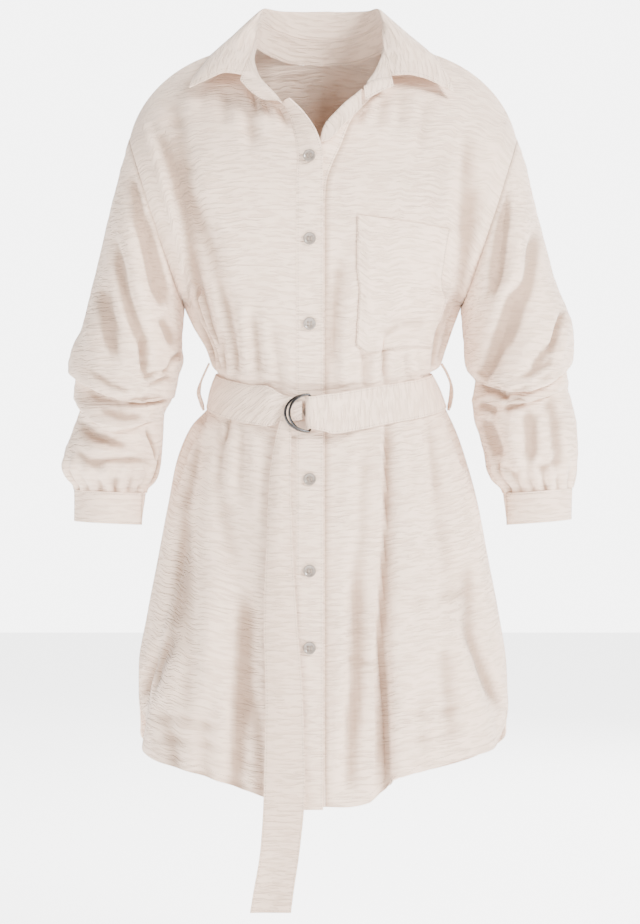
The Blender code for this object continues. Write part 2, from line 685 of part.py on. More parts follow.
def make_sleeves():
    columns = 2 * GATHERS
    degrees = np.arange(columns) * 360 / columns
    wave = np.where(np.arange(columns) % 2 == 0, 1.0, -1.0)
    for name, table, cuff, side in (
        ("sleeve_right", RIGHT_SLEEVE, RIGHT_CUFF, -1),
        ("sleeve_left", LEFT_SLEEVE, LEFT_CUFF, 1),
    ):
        rows = [armhole_ring(degrees, side)]
        for number, row in enumerate(table):
            depth = GATHER_DEPTH * ease(number, len(table) - 5, len(table) - 2)
            rows.append(ring(row, degrees, side) + spread(row, degrees, side, wave * depth))
        seam = np.array(cuff[0], float)
        points = ring(seam, degrees, side) + spread(seam, degrees, side, wave * GATHER_DEPTH / 2)
        points[:, 2] += CORNER_SEAM
        rows.append(points)
        centre = np.mean(np.concatenate(rows), axis=0)
        sheet_object(name, [np.array(rows)], centre, wrap=True)


def spread(row, degrees, side, amount):
    """A move away from a ring's middle, in the ring's plane."""
    a = np.radians(degrees)
    out = np.stack([side * np.cos(a), -np.sin(a), np.zeros(len(a))], axis=-1)
    return out * np.asarray(amount)[:, None]


def make_cuffs():
    degrees = np.linspace(CUFF_START, CUFF_START + 360 + CUFF_LAP, 31)
    lift = CUFF_LIFT * ease(degrees, CUFF_START + 290, CUFF_START + 345)
    for name, cuff, side in (("cuff_right", RIGHT_CUFF, -1), ("cuff_left", LEFT_CUFF, 1)):
        rows = []
        for share in (0, 0.5, 1):
            row = np.array(cuff[0], float) * (1 - share) + np.array(cuff[1], float) * share
            rows.append(ring(row, degrees, side) + spread(row, degrees, side, lift))
        grid = np.array(rows)
        flare = ease(degrees, degrees[-4], degrees[-1])[None, :] * np.array(CUFF_FLARE)[:, None]
        grid += flare[..., None] * unit(grid - grid.mean(axis=1, keepdims=True))
        sheet_object(name, [grid], grid.reshape(-1, 3).mean(axis=0))


# Collar

def neck_points():
    """Points on the neck seam at every collar station that has none of its own."""
    right = body("right", [0], range(BAND_TOP, 26), -1, trim=False)[:, 0]
    left = body("left", [0], range(BAND_TOP, 26), 1, trim=False)[:, 0]
    back = body("back", [0], range(BACK_NECK, 22), 1, trim=False)[:, 0]
    return np.concatenate([right, mirrored(back[1:])[::-1], back, left[::-1]])


def collar_stations():
    necks = iter(neck_points())
    stations = []
    for row in COLLAR:
        neck = row[0] if row[0] is not None else next(necks)
        stations.append([np.array(neck, float)] + [None if p is None else np.array(p, float)
                                                   for p in row[1:]])
    return stations


def make_stand():
    stations = collar_stations()
    path = np.array([[row[0], row[1], row[2]] for row in stations])
    lift = unit(path[:, 1] - path[:, 0]) * CORNER_SEAM
    sewn = np.array([row[0] is None for row in COLLAR])
    path[sewn, 0] += lift[sewn]
    grid = np.array([rounded(row, STAND_STEPS) for row in path])
    sheet_object("collar_stand", [grid], NECK_INSIDE)


def make_collar():
    stations = [row for row in collar_stations() if row[3] is not None]
    path = np.array([row[2:] for row in stations])
    path[:, 0] += unit(path[:, 1] - path[:, 0]) * CORNER_SEAM
    grid = np.array([rounded(row, LEAF_STEPS) for row in path])
    sheet_object("collar", [grid], NECK_INSIDE)


# Belt, rings and loops

def belt_sections():
    """Top, middle and bottom of the belt from its folded end round the back to the buckle."""
    sections = []
    for x, y, z_top, z_low in BELT_FOLD:
        sections.append([(x, y, z_top), (x, y, (z_top + z_low) / 2), (x, y, z_low)])
    front = [u for u in FRONT_COLUMNS if u >= BELT_START]
    behind = BACK_COLUMNS[:-1]
    sections.extend(lifted("left", front, 1))
    sections.extend(lifted("back", behind, 1)[::-1])
    sections.extend(lifted("back", behind[1:], -1))
    sections.extend(lifted("right", front, -1)[::-1])
    for x, y, z_top, z_low in BELT_END:
        sections.append([(x, y, z_top), (x, y, (z_top + z_low) / 2), (x, y, z_low)])
    return np.array(sections, float)


def lifted(piece, columns, side):
    """Sections of the belt, out from the body's own points."""
    grid = body(piece, columns, BELT_SECTIONS, side, trim=False)
    return np.swapaxes(grid + outward_of(grid, INSIDE) * BELT_GAP, 0, 1)


def make_belt():
    sections = belt_sections()
    sheet_object("belt_waist", [sections], INSIDE)
    rows = np.array(TAIL, float)
    grid = []
    for z, left, right, y, bulge in rows:
        middle = (left + right) / 2
        quarter = (right - left) / 4
        grid.append([(left, y, z), (middle - quarter, y - bulge * 0.8, z),
                     (middle, y - bulge, z), (middle + quarter, y - bulge * 0.5, z),
                     (right, y, z)])
    sheet_object("belt_tail", [np.array(grid)], INSIDE)


def tube(name, points, wire, finish, closed):
    curve = bpy.data.curves.new(name, "CURVE")
    curve.dimensions = "3D"
    curve.bevel_depth = wire / 2 * MM
    curve.bevel_resolution = 1
    curve.use_fill_caps = not closed
    line = curve.splines.new("POLY")
    line.points.add(len(points) - 1)
    for place, point in zip(line.points, points):
        place.co = (*(np.array(point) * MM), 1)
    line.use_cyclic_u = closed
    thing = bpy.data.objects.new(name, curve)
    bpy.context.scene.collection.objects.link(thing)
    curve.materials.append(finish)
    return thing


def make_rings():
    half = RING_HEIGHT / 2
    for number, (bar_y, bow_y, bow_x) in enumerate(RINGS):
        points = []
        for degrees in np.linspace(90, 270, 17):
            a = np.radians(degrees)
            share = max(-np.cos(a), 0.0)
            x = RING_BAR_X + (bow_x - RING_BAR_X) * share**0.9
            y = bar_y + (bow_y - bar_y) * share
            points.append((x, y, RING_CENTRE_Z + half * np.sin(a)))
        points.append((RING_BAR_X, bar_y, RING_CENTRE_Z - half * 0.4))
        points.append((RING_BAR_X, bar_y, RING_CENTRE_Z + half * 0.4))
        finish = material(f"ring_{number + 1}_metal", METAL_COLOUR, METAL_ROUGHNESS, 1.0)
        tube(f"ring_{number + 1}", points, RING_WIRE, finish, closed=True)


def make_loops():
    for name, points in (("loop_right", RIGHT_LOOP), ("loop_left", LEFT_LOOP)):
        path = rounded(points, np.linspace(0, len(points) - 1, 11))
        grid = np.array([[(x, y, z) for y in (-LOOP_WIDTH / 2, LOOP_WIDTH / 2)] for x, z in path])
        sheet_object(name, [grid], INSIDE, thickness=LOOP_THICKNESS)


# Buttons

def make_buttons():
    """Each button stands clear of the highest point of the band under it."""
    grid = band_grid("right")
    points = band_points(grid)
    middle = grid[:, 1]
    for number, height in enumerate(BUTTON_HEIGHTS):
        high = int(np.argmax(middle[:, 2] > height))
        low = high - 1
        share = (height - middle[low, 2]) / (middle[high, 2] - middle[low, 2])
        point = middle[low] + (middle[high] - middle[low]) * share
        across = (grid[low, 2] - grid[low, 0]) * (1 - share) + (grid[high, 2] - grid[high, 0]) * share
        out = unit(np.cross(middle[high] - middle[low], across))
        out = out * -np.sign(out[1])
        away = points - point
        rise = away @ out
        aside = np.linalg.norm(away - rise[:, None] * out, axis=-1)
        lift = rise[aside < BUTTON_DIAMETER / 2 + 1].max() + BAND_CLOTH / 2 + BUTTON_SHANK
        make_button(f"button_{number + 1}", point + out * lift, out)


def band_points(grid):
    """Points along all the lines and both diagonals of a grid."""
    pairs = [(grid[:-1], grid[1:]), (grid[:, :-1], grid[:, 1:]), (grid[:-1, :-1], grid[1:, 1:]),
             (grid[1:, :-1], grid[:-1, 1:])]
    points = [start + (end - start) * t for start, end in pairs for t in np.linspace(0, 1, 21)]
    return np.concatenate([p.reshape(-1, 3) for p in points])


def make_button(name, seat, out):
    """A flat disc with a raised rim round a dished middle, standing on its seat."""
    mesh = bmesh.new()
    radius = BUTTON_DIAMETER / 2 * MM
    disc = bmesh.ops.create_circle(mesh, cap_ends=True, radius=radius, segments=BUTTON_SIDES)
    base = list(disc["verts"])
    mesh.faces.ensure_lookup_table()
    face = mesh.faces[0]
    raised = bmesh.ops.extrude_discrete_faces(mesh, faces=[face])["faces"][0]
    bmesh.ops.translate(mesh, verts=raised.verts, vec=(0, 0, BUTTON_THICKNESS * MM))
    bmesh.ops.inset_individual(mesh, faces=[raised], thickness=BUTTON_RIM * radius)
    slope = BUTTON_RIM / 2 * radius
    bmesh.ops.inset_individual(mesh, faces=[raised], thickness=slope, depth=-BUTTON_DISH * MM)
    bmesh.ops.contextual_create(mesh, geom=base)
    bmesh.ops.recalc_face_normals(mesh, faces=mesh.faces)
    turn = Vector((0, 0, 1)).rotation_difference(Vector(out)).to_matrix().to_4x4()
    mesh.transform(Matrix.Translation(Vector(seat) * MM) @ turn)
    finish_object(name, mesh, material(name + "_shell", SHELL_COLOUR, SHELL_ROUGHNESS, 0.0))


def main():
    clear_scene()
    make_fronts()
    make_back()
    make_pocket()
    make_bands()
    make_stand()
    make_collar()
    make_sleeves()
    make_cuffs()
    make_belt()
    make_rings()
    make_loops()
    make_buttons()


main()
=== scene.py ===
# A belted shirt dress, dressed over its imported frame: crinkled cloth, stitches, buttons and rings.
# Tables are in millimetres and meshes in metres. +Z is up and the front faces -Y.
# "Right" and "left" are the wearer's, so the right half is at -X.

import bmesh
import bpy
import numpy as np
from mathutils import Matrix, Vector


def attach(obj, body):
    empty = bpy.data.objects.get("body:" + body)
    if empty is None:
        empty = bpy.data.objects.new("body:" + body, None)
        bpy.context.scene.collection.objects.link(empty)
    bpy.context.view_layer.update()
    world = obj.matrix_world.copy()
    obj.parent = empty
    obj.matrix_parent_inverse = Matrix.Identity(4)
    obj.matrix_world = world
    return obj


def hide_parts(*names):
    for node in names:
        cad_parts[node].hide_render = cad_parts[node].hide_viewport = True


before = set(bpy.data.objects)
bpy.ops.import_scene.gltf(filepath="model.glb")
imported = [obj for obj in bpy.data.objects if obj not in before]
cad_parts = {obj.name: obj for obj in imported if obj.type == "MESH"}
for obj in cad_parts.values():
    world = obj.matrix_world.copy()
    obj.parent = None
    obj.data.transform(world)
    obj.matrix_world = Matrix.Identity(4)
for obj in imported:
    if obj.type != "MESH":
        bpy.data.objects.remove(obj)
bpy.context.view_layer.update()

bl_info = {
    "name": "Belted shirt dress",
    "version": (1, 0, 0),
    "blender": (4, 5, 0),
    "location": "3D View > Sidebar > Dress",
    "description": "Builds a worn shirt dress with a belt, piece by piece",
    "category": "Object",
}

MM = 0.001
STEP = 4.2                  # about how far apart the rows of a sheet are
ACROSS = 66                 # columns from the middle to the side seam
ROUND = 128                 # columns round a sleeve

# Cloth and seams: as in the frame, with the seams drawn closer together
SEAM = 0.16                 # gap of a straight seam
CORNER_SEAM = 0.3           # gap where two pieces meet at an angle
ARMHOLE_SEAM = (0.45, 0.8)  # gap at the armhole's top and bottom
SLANT_SEAM = 0.2            # the front's half of the gap where the bands slant to the neck
SLANT = (16, 18)            # the sections between which that gap opens
UNDERARM = 13               # the section at the underarm
WAIST = 9                   # the section at which the pattern of the body's cloth is zero
UNDER_BELT = (6.3, 6.8, 9.2, 9.7)   # sections between which the belt lies on the body
TOP_ROW = 25.0              # about how far apart the top sections lie
BOWED = 1.12                # length of a curved section against the way straight across
LAP = 3.4                   # how far the left front lies behind the right one
POCKET_LIFT = 1.7           # the pocket's middle over the middle of the cloth below it
POCKET_AIR = 0.2            # how much further out the pocket is drawn
BAND_WIDTH = 30.0
BAND_LIFT = 0.6             # how far the straight bands stand out from the front edges
BELT_GAP = 2.0              # the belt's middle over the middle of the cloth below it
BELT_ROLL = 1.3             # how far the belt's middle stands out from its edges
GATHERS = 16                # pleats round each sleeve's end
GATHER_DEPTH = 2.4
GATHER_ROWS = (5, 2)        # rows before the end at which the pleats start and are full
SLEEVE_SHADE = 2.2          # how much darker the painted shade in the sleeves' creases is drawn
SLEEVE_ROUND = 150.0        # half the width that waves on a sleeve run over
# Shade beside seams and edges, drawn as if in a crease: its depth and how far it reaches
FRONT_SHADE = (5.0, 9.0)
BAND_SHADE = (1.5, 6.0)
HEM_SHADE = (1.6, 7.0)
POCKET_SHADE = (3.4, 3.5)
ARMHOLE_SHADE = (2.2, 9.0)
CUFF_SHADE = (5.0, 52.0)
LAP_SHADE = (6.0, 4.0)
TAIL_SHADE = 2.6            # shade over the whole hanging end, as in a crease so deep
CREASE_DEPTHS = (0.3, 7.0)  # depths at which the shade in a crease starts and is full
CREASE_GAIN = 0.8           # how much deeper the broad creases are pressed than the narrow ones
CREASE_WIDTHS = (3, 7)      # half widths between which a crease turns from narrow to broad
RIDGE_HEIGHT = 0.22         # the low ridges beside a crease, as shares of its depth and width
RIDGE_PLACE = 2.1
RIDGE_WIDTH = 0.9
SEEN = (0.08, 0.4)          # how squarely cloth faces the viewer where creases begin and are full
FADES = (14.0, 22.0)        # how far from a front's inner and outer edge the folds are full
BACK_FADES = (0.0, 22.0)    # the same for the back, whose folds cross its middle
FLAT_EDGES = (9, 16)        # the same for the creases
RING_MORE = 0.5             # how much thicker the rings' wire is drawn, all round
RING_BAR = -13.5            # where both rings' straight bars stand
RING_REACH = 28.0           # how far the bows reach from the bars
BOW_SHIFTS = {"ring_1": 0.0, "ring_2": 3.0}   # how much nearer the bar a bow is drawn
BUTTONS = 7
INSIDE = (0, 0, -400)       # a point inside the body
INSIDE_NECK = (0, 0, 0)     # a point inside the neck
BEHIND_TAIL = (0, 200, -700)   # a point behind the belt's hanging end

# Waves in the cloth: the period across, the length along and the share of each
RIPPLES = ((34, 150, 1.0), (23, 95, 0.8), (15.5, 62, 0.6), (12, 48, 0.4))
# The number that starts each piece's random waves, and their height
WAVES = {
    "back": (3, 0.45), "right": (4, 0.45), "left": (6, 0.45),
    "band_right": (10, 0.22), "band_left": (12, 0.22),
    "sleeve_right": (20, 0.5), "sleeve_left": (22, 0.5),
    "cuff_right": (30, 0.18), "cuff_left": (32, 0.18),
    "collar_stand": (41, 0.16), "collar": (43, 0.25),
    "belt_waist": (51, 0.2), "belt_tail": (61, 0.3),
}

# Rows of stitches: along a row (0) or a column (1), how far inside the edge, whether it is the
# last row or column, and how much is left out at each end
STITCHES = {
    "hem": ((0, 9.0, False, 0),),
    "band": ((1, 2.2, False, 0), (1, 2.2, True, 0)),
    "pocket": ((0, 1.2, False, 0), (1, 1.2, False, 0), (1, 1.2, True, 0), (0, 17.0, True, 2)),
    "stand": ((1, 2.0, False, 0), (1, 2.2, True, 0), (0, 2.0, False, 0), (0, 2.0, True, 0)),
    "collar": ((1, 4.5, True, 4), (0, 4.5, False, 0), (0, 4.5, True, 0)),
    "cuff": ((0, 2.0, False, 0), (0, 2.0, True, 0), (1, 2.0, True, 0)),
    "belt": ((1, 2.0, False, 0), (1, 2.0, True, 0)),
    "tail": ((1, 2.0, False, 0), (1, 2.0, True, 0), (0, 2.0, True, 0)),
}
STITCHED = 0.76             # share of a stitch and its gap that the thread covers
SUNK = 0.15                 # how deep the ends of a stitch go into the cloth
CRISP = 50                  # degrees from which an edge is drawn crisp
BUTTON_CRISP = 35

# The cloth's look
CRINKLE_RISE = (0.33, 0.58)    # the noise's range in which a crinkle rises and its painted shade gives way to the cloth's colour
PATCH_RANGE = (0.3, 0.7)    # the same for the slow noise that makes some crinkles lower
PATCH_LEAST = 0.35          # the least height that it leaves
WEAVE = (0.0016, 0.0009)    # length and spacing of the weave's threads, in metres
WEAVE_HEIGHT = 0.0002
CREASE_SHADE_SHARE = 0.85         # how fully a deep crease takes the colour of the painted crease shade

# A button and its thread, in metres but for the rim
BUTTON_THICKNESS = 0.0022
RIM = (0.2, 0.14)           # width of the rim and of the slope inside it, as shares of the radius
BUTTON_DISH = 0.0007
BUTTON_EDGE = 0.00025
HOLE_RADIUS = 0.0008
HOLE_PLACE = 0.0018         # how far the holes lie from the middle, both ways
DRILL_LENGTH = 0.01
THREAD_RADIUS = 0.0004
THREAD_HEIGHT = 0.0018      # where the thread lies over the button's back
SHANK_LENGTH = 0.0026
SHANK_HEIGHT = 0.0005

# Where the picture's camera stands (across, in depth and up), its lens and its sensor's width
CAMERA = (-3.5, -3000.0, -464.0)
CAMERA_LENS = 101.3
SENSOR_WIDTH = 36

# The pocket: its columns and sections on the left front, and its lower edge's blunt point
POCKET_SIDES = (0.155, 0.655)
POCKET_ENDS = (11.46, 15.9)
POCKET_POINT = (0.0, 0.55, 0.5, 0.38, 0.25, 0.3, 0.35, 0.42, 0.45)
POCKET_POINT_HEIGHT = 0.54  # in sections
POCKET_GRID = (60, 44)      # its rows and columns
POCKET_EDGE = 7             # how far from its edges the pocket lies flat
POCKET_TOP = (12, 0.5)      # how far down its top stands off, and by how much
BAND_TOP = 21               # the section at which both bands end below the neck seam
BELT_SECTIONS = (8.84, 8, 7)   # where on the body the belt's top, middle and lower edge lie
BELT_START = 0.35           # how far across each front the belt starts to follow it
BELT_OPEN = (24, 44)        # rows of the belt between which its middle comes to stand out
BELT_SHUT = 20              # rows before its end over which it lies flat again
SEWN_END = 16               # the last collar station that is sewn to the left front

# The stage, in metres but for the floor's height
FLOOR_HEIGHT = -1120.0
FLOOR_SIZE = 12
FLOOR_BACK = 1.0            # how far the floor's middle lies behind the dress
LIT_POINT = (0, 0, -0.4)    # what all the lights face
LIGHTS = (
    # name  place  size  power
    ("key", (2.1, -2.1, 1.5), 1.5, 330),
    ("fill", (-2.2, -2.6, 0.3), 1.8, 60),
    ("top", (0.2, 0.4, 2.4), 1.4, 50),
    ("back", (1.2, 2.6, 0.8), 1.4, 110),
)
WORLD_LIGHT = 0.42          # brightness of the light from all round
FLOOR_LIGHT = 3.8           # glow of the floor, which hides its far edge
WALL_LIGHT = 6.0            # brightness of the wall behind, as the camera sees it

# Front sections from the hem up to the underarm. The inner end is at the band, the outer end at
# the side seam: height, depth, height, and half width on the right and on the left.
FRONT_ROWS = (
    # z_in  y_in  z_out  w_right w_left
    (-848, -130, -736, 212.0, 213.0),
    (-770, -128, -697, 212.0, 211.0),
    (-690, -124, -640, 202.5, 202.5),
    (-610, -119, -575, 190.0, 190.0),
    (-535, -112, -512, 178.0, 178.0),
    (-478, -104, -462, 168.0, 164.5),
    (-446, -98, -424, 152.0, 151.0),
    (-432, -95, -401, 132.0, 140.0),
    (-409, -92, -380, 126.5, 131.0),
    (-384, -91, -361, 121.0, 123.0),
    (-376, -95, -353, 127.0, 134.0),
    (-350, -99, -334, 134.0, 141.0),
    (-315, -104, -308, 149.0, 150.0),
    (-275, -110, -284.5, 160.0, 159.0),
)

# Front sections above the underarm, which end on the armhole at an angle counted from its top.
# The inner end climbs the band's seam and then the neck seam. "turn" is how many degrees the
# section curves round, and "drop" is how late along it the height is lost.
RIGHT_CHEST = (
    # x_in  y_in  z_in  angle turn drop
    (30.0, -113, -245, 150, 80, 0.00),
    (30.0, -114, -215, 124, 74, 0.05),
    (30.0, -113, -182, 104, 70, 0.08),
    (30.0, -110, -150, 86, 66, 0.12),
    (28.5, -104, -123, 70, 62, 0.20),
    (32.0, -95, -98, 58, 60, 0.30),
    (37.0, -86, -76, 48, 60, 0.40),
    (45.0, -77, -62, 40, 60, 0.50),
    (62.0, -66, -50, 30, 62, 0.60),
    (75.0, -45, -27, 20, 66, 0.75),
    (79.0, -20, -3, 10, 72, 0.90),
    (77.0, 3, 14, 0, 80, 1.00),
)
LEFT_CHEST = (
    (2.0, -113, -245, 150, 80, 0.00),
    (2.0, -114, -215, 124, 74, 0.05),
    (2.0, -113, -182, 104, 70, 0.08),
    (4.0, -109, -152, 86, 66, 0.12),
    (11.0, -101, -129, 70, 62, 0.20),
    (19.0, -95, -111, 58, 60, 0.30),
    (32.0, -88, -79, 48, 60, 0.40),
    (52.0, -76, -56, 40, 60, 0.50),
    (63.0, -66, -44, 30, 62, 0.60),
    (73.0, -45, -24, 20, 66, 0.75),
    (78.0, -20, -2, 10, 72, 0.90),
    (77.0, 3, 14, 0, 80, 1.00),
)

# Back sections, from the hem up to the underarm: height and depth at the middle.
BACK_ROWS = (
    (-846, 134), (-770, 131), (-690, 125), (-610, 118), (-535, 109), (-470, 99), (-425, 88),
    (-399, 84), (-375, 81), (-352, 80), (-344, 84), (-320, 87), (-295, 91), (-262, 95),
)
BACK_CHEST = (
    # x_in  y_in  z_in  angle turn drop
    (0.0, 98, -215, 150, 84, 0.00),
    (0.0, 100, -165, 128, 78, 0.05),
    (0.0, 98, -115, 106, 72, 0.10),
    (0.0, 91, -65, 84, 68, 0.20),
    (0.0, 78, -25, 62, 66, 0.30),
    (0.0, 62, 1, 42, 66, 0.50),
    (32.0, 57, 3, 28, 68, 0.70),
    (60.0, 39, 10, 13, 74, 0.90),
    (77.0, 3, 14, 0, 80, 1.00),
)
BACK_NECK = 19              # the section that ends at the middle of the back neck

# Free edges of the bands where they leave the straight front edge: section, middle, free edge.
RIGHT_BAND = (
    (17, (-15, -112, -150), (0, -112, -150)),
    (18, (-15, -107, -123), (0, -108, -123)),
    (19, (-20, -103, -98), (-6, -108, -99)),
    (20, (-30, -97, -74), (-22, -105, -74)),
    (21, (-43, -90, -59), (-38, -101, -58)),
)
LEFT_BAND = (
    (16, (-13, -110, -182), (-27.5, -110, -182)),
    (17, (-10, -106, -151), (-25, -106, -149)),
    (18, (-3, -102, -118), (-14, -102, -110)),
    (19, (1, -101, -92), (4, -107.5, -106)),
    (20, (21, -99, -67), (24, -106, -87)),
    (21, (43.5, -92, -47.5), (43, -100, -68)),
)

# The hem's height round each piece, from its middle (0) to its side seam (1).
RIGHT_HEM = ((0, -848), (0.13, -833), (0.3, -820), (0.5, -807), (0.75, -797), (0.87, -790),
             (0.94, -764), (1, -736))
LEFT_HEM = ((0, -845), (0.07, -846), (0.15, -842), (0.19, -830), (0.22, -818), (0.39, -805),
            (0.53, -796), (0.74, -789), (0.85, -782), (0.93, -764), (1, -736))
BACK_HEM = ((0, -846), (0.3, -838), (0.6, -815), (0.82, -788), (0.93, -762), (1, -736))

# The armhole's top and bottom, and how far it bulges to the front and back.
ARMHOLE_TOP = (223.0, 4.0, -92.0)
ARMHOLE_BOTTOM = (160.0, 0.0, -284.5)
ARMHOLE_FRONT = 74.0
ARMHOLE_BACK = 76.0

# Folds: place across the piece (0 to 1) and height at the top and bottom end, depth (inwards is
# below 0) and half width. Each fades out at its ends.
RIGHT_FOLDS = (
    # u_top z_top  u_low  z_low  depth  width
    (0.90, -130, 0.80, -372, -5.0, 16),
    (0.72, -262, 0.735, -362, -4.5, 7),
    (0.60, -292, 0.59, -366, -4.0, 7),
    (0.84, -300, 0.86, -365, -4.0, 8),
    (0.80, -412, 0.86, -500, -5.0, 9),
    (0.62, -418, 0.60, -560, -4.0, 12),
    (0.33, -434, 0.26, -800, -6.0, 26),
    (0.72, -520, 0.90, -770, -9.0, 24),
    (0.45, -560, 0.52, -800, 5.0, 34),
    (0.10, -600, 0.11, -830, -4.0, 16),
)
LEFT_FOLDS = (
    (0.90, -130, 0.88, -372, -4.0, 16),
    (0.80, -262, 0.74, -362, -4.5, 10),
    (0.46, -330, 0.45, -368, -3.0, 8),
    (0.24, -335, 0.26, -370, -3.0, 8),
    (0.88, -408, 0.90, -480, -5.0, 9),
    (0.33, -430, 0.205, -830, -10.0, 17),
    (0.40, -440, 0.30, -800, 4.0, 24),
    (0.15, -560, 0.12, -760, -4.0, 16),
    (0.62, -420, 0.58, -640, -5.0, 22),
    (0.72, -560, 0.82, -760, -7.0, 24),
)
BACK_FOLDS = (
    (0.20, -55, 0.30, -345, -3.0, 22),
    (0.60, -170, 0.45, -348, -5.0, 20),
    (0.84, -235, 0.76, -352, -5.0, 14),
    (0.13, -260, 0.12, -350, -4.0, 10),
    (0.10, -402, 0.06, -780, -6.0, 24),
    (0.34, -402, 0.30, -800, -9.0, 24),
    (0.58, -400, 0.56, -790, -8.0, 26),
    (0.78, -404, 0.80, -740, -7.0, 22),
)

# Sleeve sections from the armhole to the cuff. Outer and inner edge as seen from the front, the
# reach to the front and back, and how much lower the front and back hang than the edges.
RIGHT_SLEEVE = (
    # x_out z_out x_in z_in front sag back sag
    (234, -133, 160.5, -291, 79, 0, 79, 0),
    (246, -180, 161, -298, 82, 0, 80, 0),
    (258, -232, 162, -306, 82, 0, 78, 0),
    (269, -276, 163, -318, 79, -3, 74, -3),
    (277, -308, 163, -332, 78, -8, 72, -6),
    (290, -336, 161.5, -346, 80, -18, 72, -12),
    (293, -352, 167, -366, 83, -26, 74, -18),
    (293, -360, 172, -389, 81, -20, 73, -14),
    (285, -365, 173, -386, 65, -9, 62, -5),
    (286, -376, 176, -394, 70, -11, 66, -8),
    (286.5, -390, 181, -402, 76, -15, 68, -12),
    (280, -400, 184, -409, 79, -21, 70, -16),
    (279.5, -404, 184, -414, 66, -12, 62, -8),
    (287, -425, 185, -432, 67, -10, 58, -6),
    (297, -453, 187, -455, 66, -5, 50, -4),
    (300, -468, 191, -474, 60, -2, 44, -2),
    (295, -481, 197, -487, 48, 0, 32, 0),
    (286.5, -491, 205, -495, 37, 0, 19, 0),
)
LEFT_SLEEVE = (
    (232, -118, 159.5, -289, 79, 0, 79, 0),
    (243, -165, 160, -297, 82, 0, 80, 0),
    (256, -215, 161, -306, 82, 0, 78, 0),
    (268, -258, 162, -318, 79, -3, 74, -3),
    (279, -284, 163, -331, 78, -7, 72, -6),
    (288, -312, 163.5, -344, 80, -15, 72, -12),
    (288.5, -338, 167, -358, 83, -23, 74, -18),
    (285.5, -352, 176, -370, 81, -23, 73, -16),
    (280, -358, 176, -375, 66, -11, 62, -6),
    (281, -366, 173.5, -387, 71, -12, 66, -8),
    (282.5, -373, 172, -393, 76, -14, 68, -10),
    (282, -380, 173, -398, 66, -6, 60, -5),
    (288, -402, 175, -414, 69, -4, 62, -4),
    (292, -425, 180, -431, 68, -2, 58, -2),
    (293, -448, 186, -451, 64, -2, 52, -2),
    (291, -466, 189.5, -469, 58, 0, 44, 0),
    (289, -479, 196, -484, 48, 0, 32, 0),
    (287, -489, 207, -495, 37, 0, 19, 0),
)
# Cuffs: the same columns for the top and the bottom.
RIGHT_CUFF = ((286.5, -496, 205, -500, 36, 0, 18, 0), (286.5, -532, 210, -536, 35, 0, 18, 0))
LEFT_CUFF = ((287, -494, 208, -500, 36, 0, 18, 0), (286, -530, 213, -536, 35, 0, 18, 0))
CUFF_START = 110            # degrees round from the outer edge where the under layer starts
CUFF_LAP = 40               # degrees by which the outer layer laps over it
CUFF_LIFT = 2.6             # middle of the outer layer over the middle of the under layer
LIFT_DEGREES = (290, 345)   # degrees from the start between which the outer layer climbs over
FLARE = (0.8, 5.3)          # how far the outer layer's end stands off, at its top and bottom
FLARED = 14                 # columns over which it does
CUFF_GRID = (13, 132)       # rows and columns of a cuff

# Collar stations from the right front round the back to the left front: neck seam, roll of the
# stand, seam between stand and collar, crown, fall and outer edge. A neck point left out is taken
# from the front or back piece, and only the stand reaches the stations without a crown.
COLLAR = (
    ((-66, -92, -59), (-81, -90, -49), (-93, -84, -36), None, None, None),
    ((-50, -101, -61), (-64, -97, -48), (-91, -82, -29), (-111, -76, -26), (-131, -70, -33),
     (-151, -63, -41)),
    (None, (-57, -92, -49), (-88, -75, -20), (-110, -71, -16), (-131, -65, -22), (-149, -57, -33)),
    (None, (-70, -74, -34), (-84, -58, -6), (-107, -57, -3), (-129, -53, -10), (-145, -48, -24)),
    (None, (-78, -47, -10), (-81, -42, 6), (-101, -42, 10), (-122, -39, 2), (-138, -35, -12)),
    (None, (-80, -21, 13), (-77, -22, 29), (-80, -20, 43), (-107, -17, 22), (-128, -13, 4)),
    (None, (-76, 4, 30), (-73, 4, 45), (-69, 4, 59), (-92, 9, 36), (-115, 14, 13)),
    (None, (-58, 40, 26), (-55, 37, 40), (-52, 41, 63), (-67, 54, 38), (-88, 64, 15)),
    (None, (-31, 57, 19), (-30, 54, 34), (-28, 59, 65), (-36, 73, 39), (-46, 86, 15)),
    (None, (0, 62, 17), (0, 59, 32), (0, 63, 66), (0, 78, 39), (0, 92, 15)),
    (None, (31, 57, 19), (30, 54, 34), (28, 59, 65), (36, 73, 39), (46, 86, 15)),
    (None, (58, 40, 26), (55, 37, 40), (52, 41, 63), (67, 54, 38), (88, 64, 15)),
    (None, (74, 4, 30), (69, 4, 45), (64, 4, 59), (88, 9, 38), (113, 14, 17)),
    (None, (75, -21, 14), (68, -22, 30), (72, -20, 43), (98, -17, 24), (124, -13, 5)),
    (None, (67, -47, -6), (69, -43, 8), (87, -43, 16), (109, -40, 8), (132, -36, -5)),
    (None, (57, -72, -27), (74, -61, -13), (94, -58, -8), (117, -55, -12), (140, -50, -23)),
    (None, (50, -84, -38), (77, -75, -29), (100, -73, -28), (125, -67, -35), (149, -62, -47)),
    ((48.6, -84.5, -47.0), (56, -85, -37), (77.5, -77, -32), None, None, None),
    ((45.6, -93, -44.0), (58, -89, -39), (78, -80, -36), None, None, None),
    ((47.5, -100, -60), (62, -93, -51), (79, -83, -42), None, None, None),
)
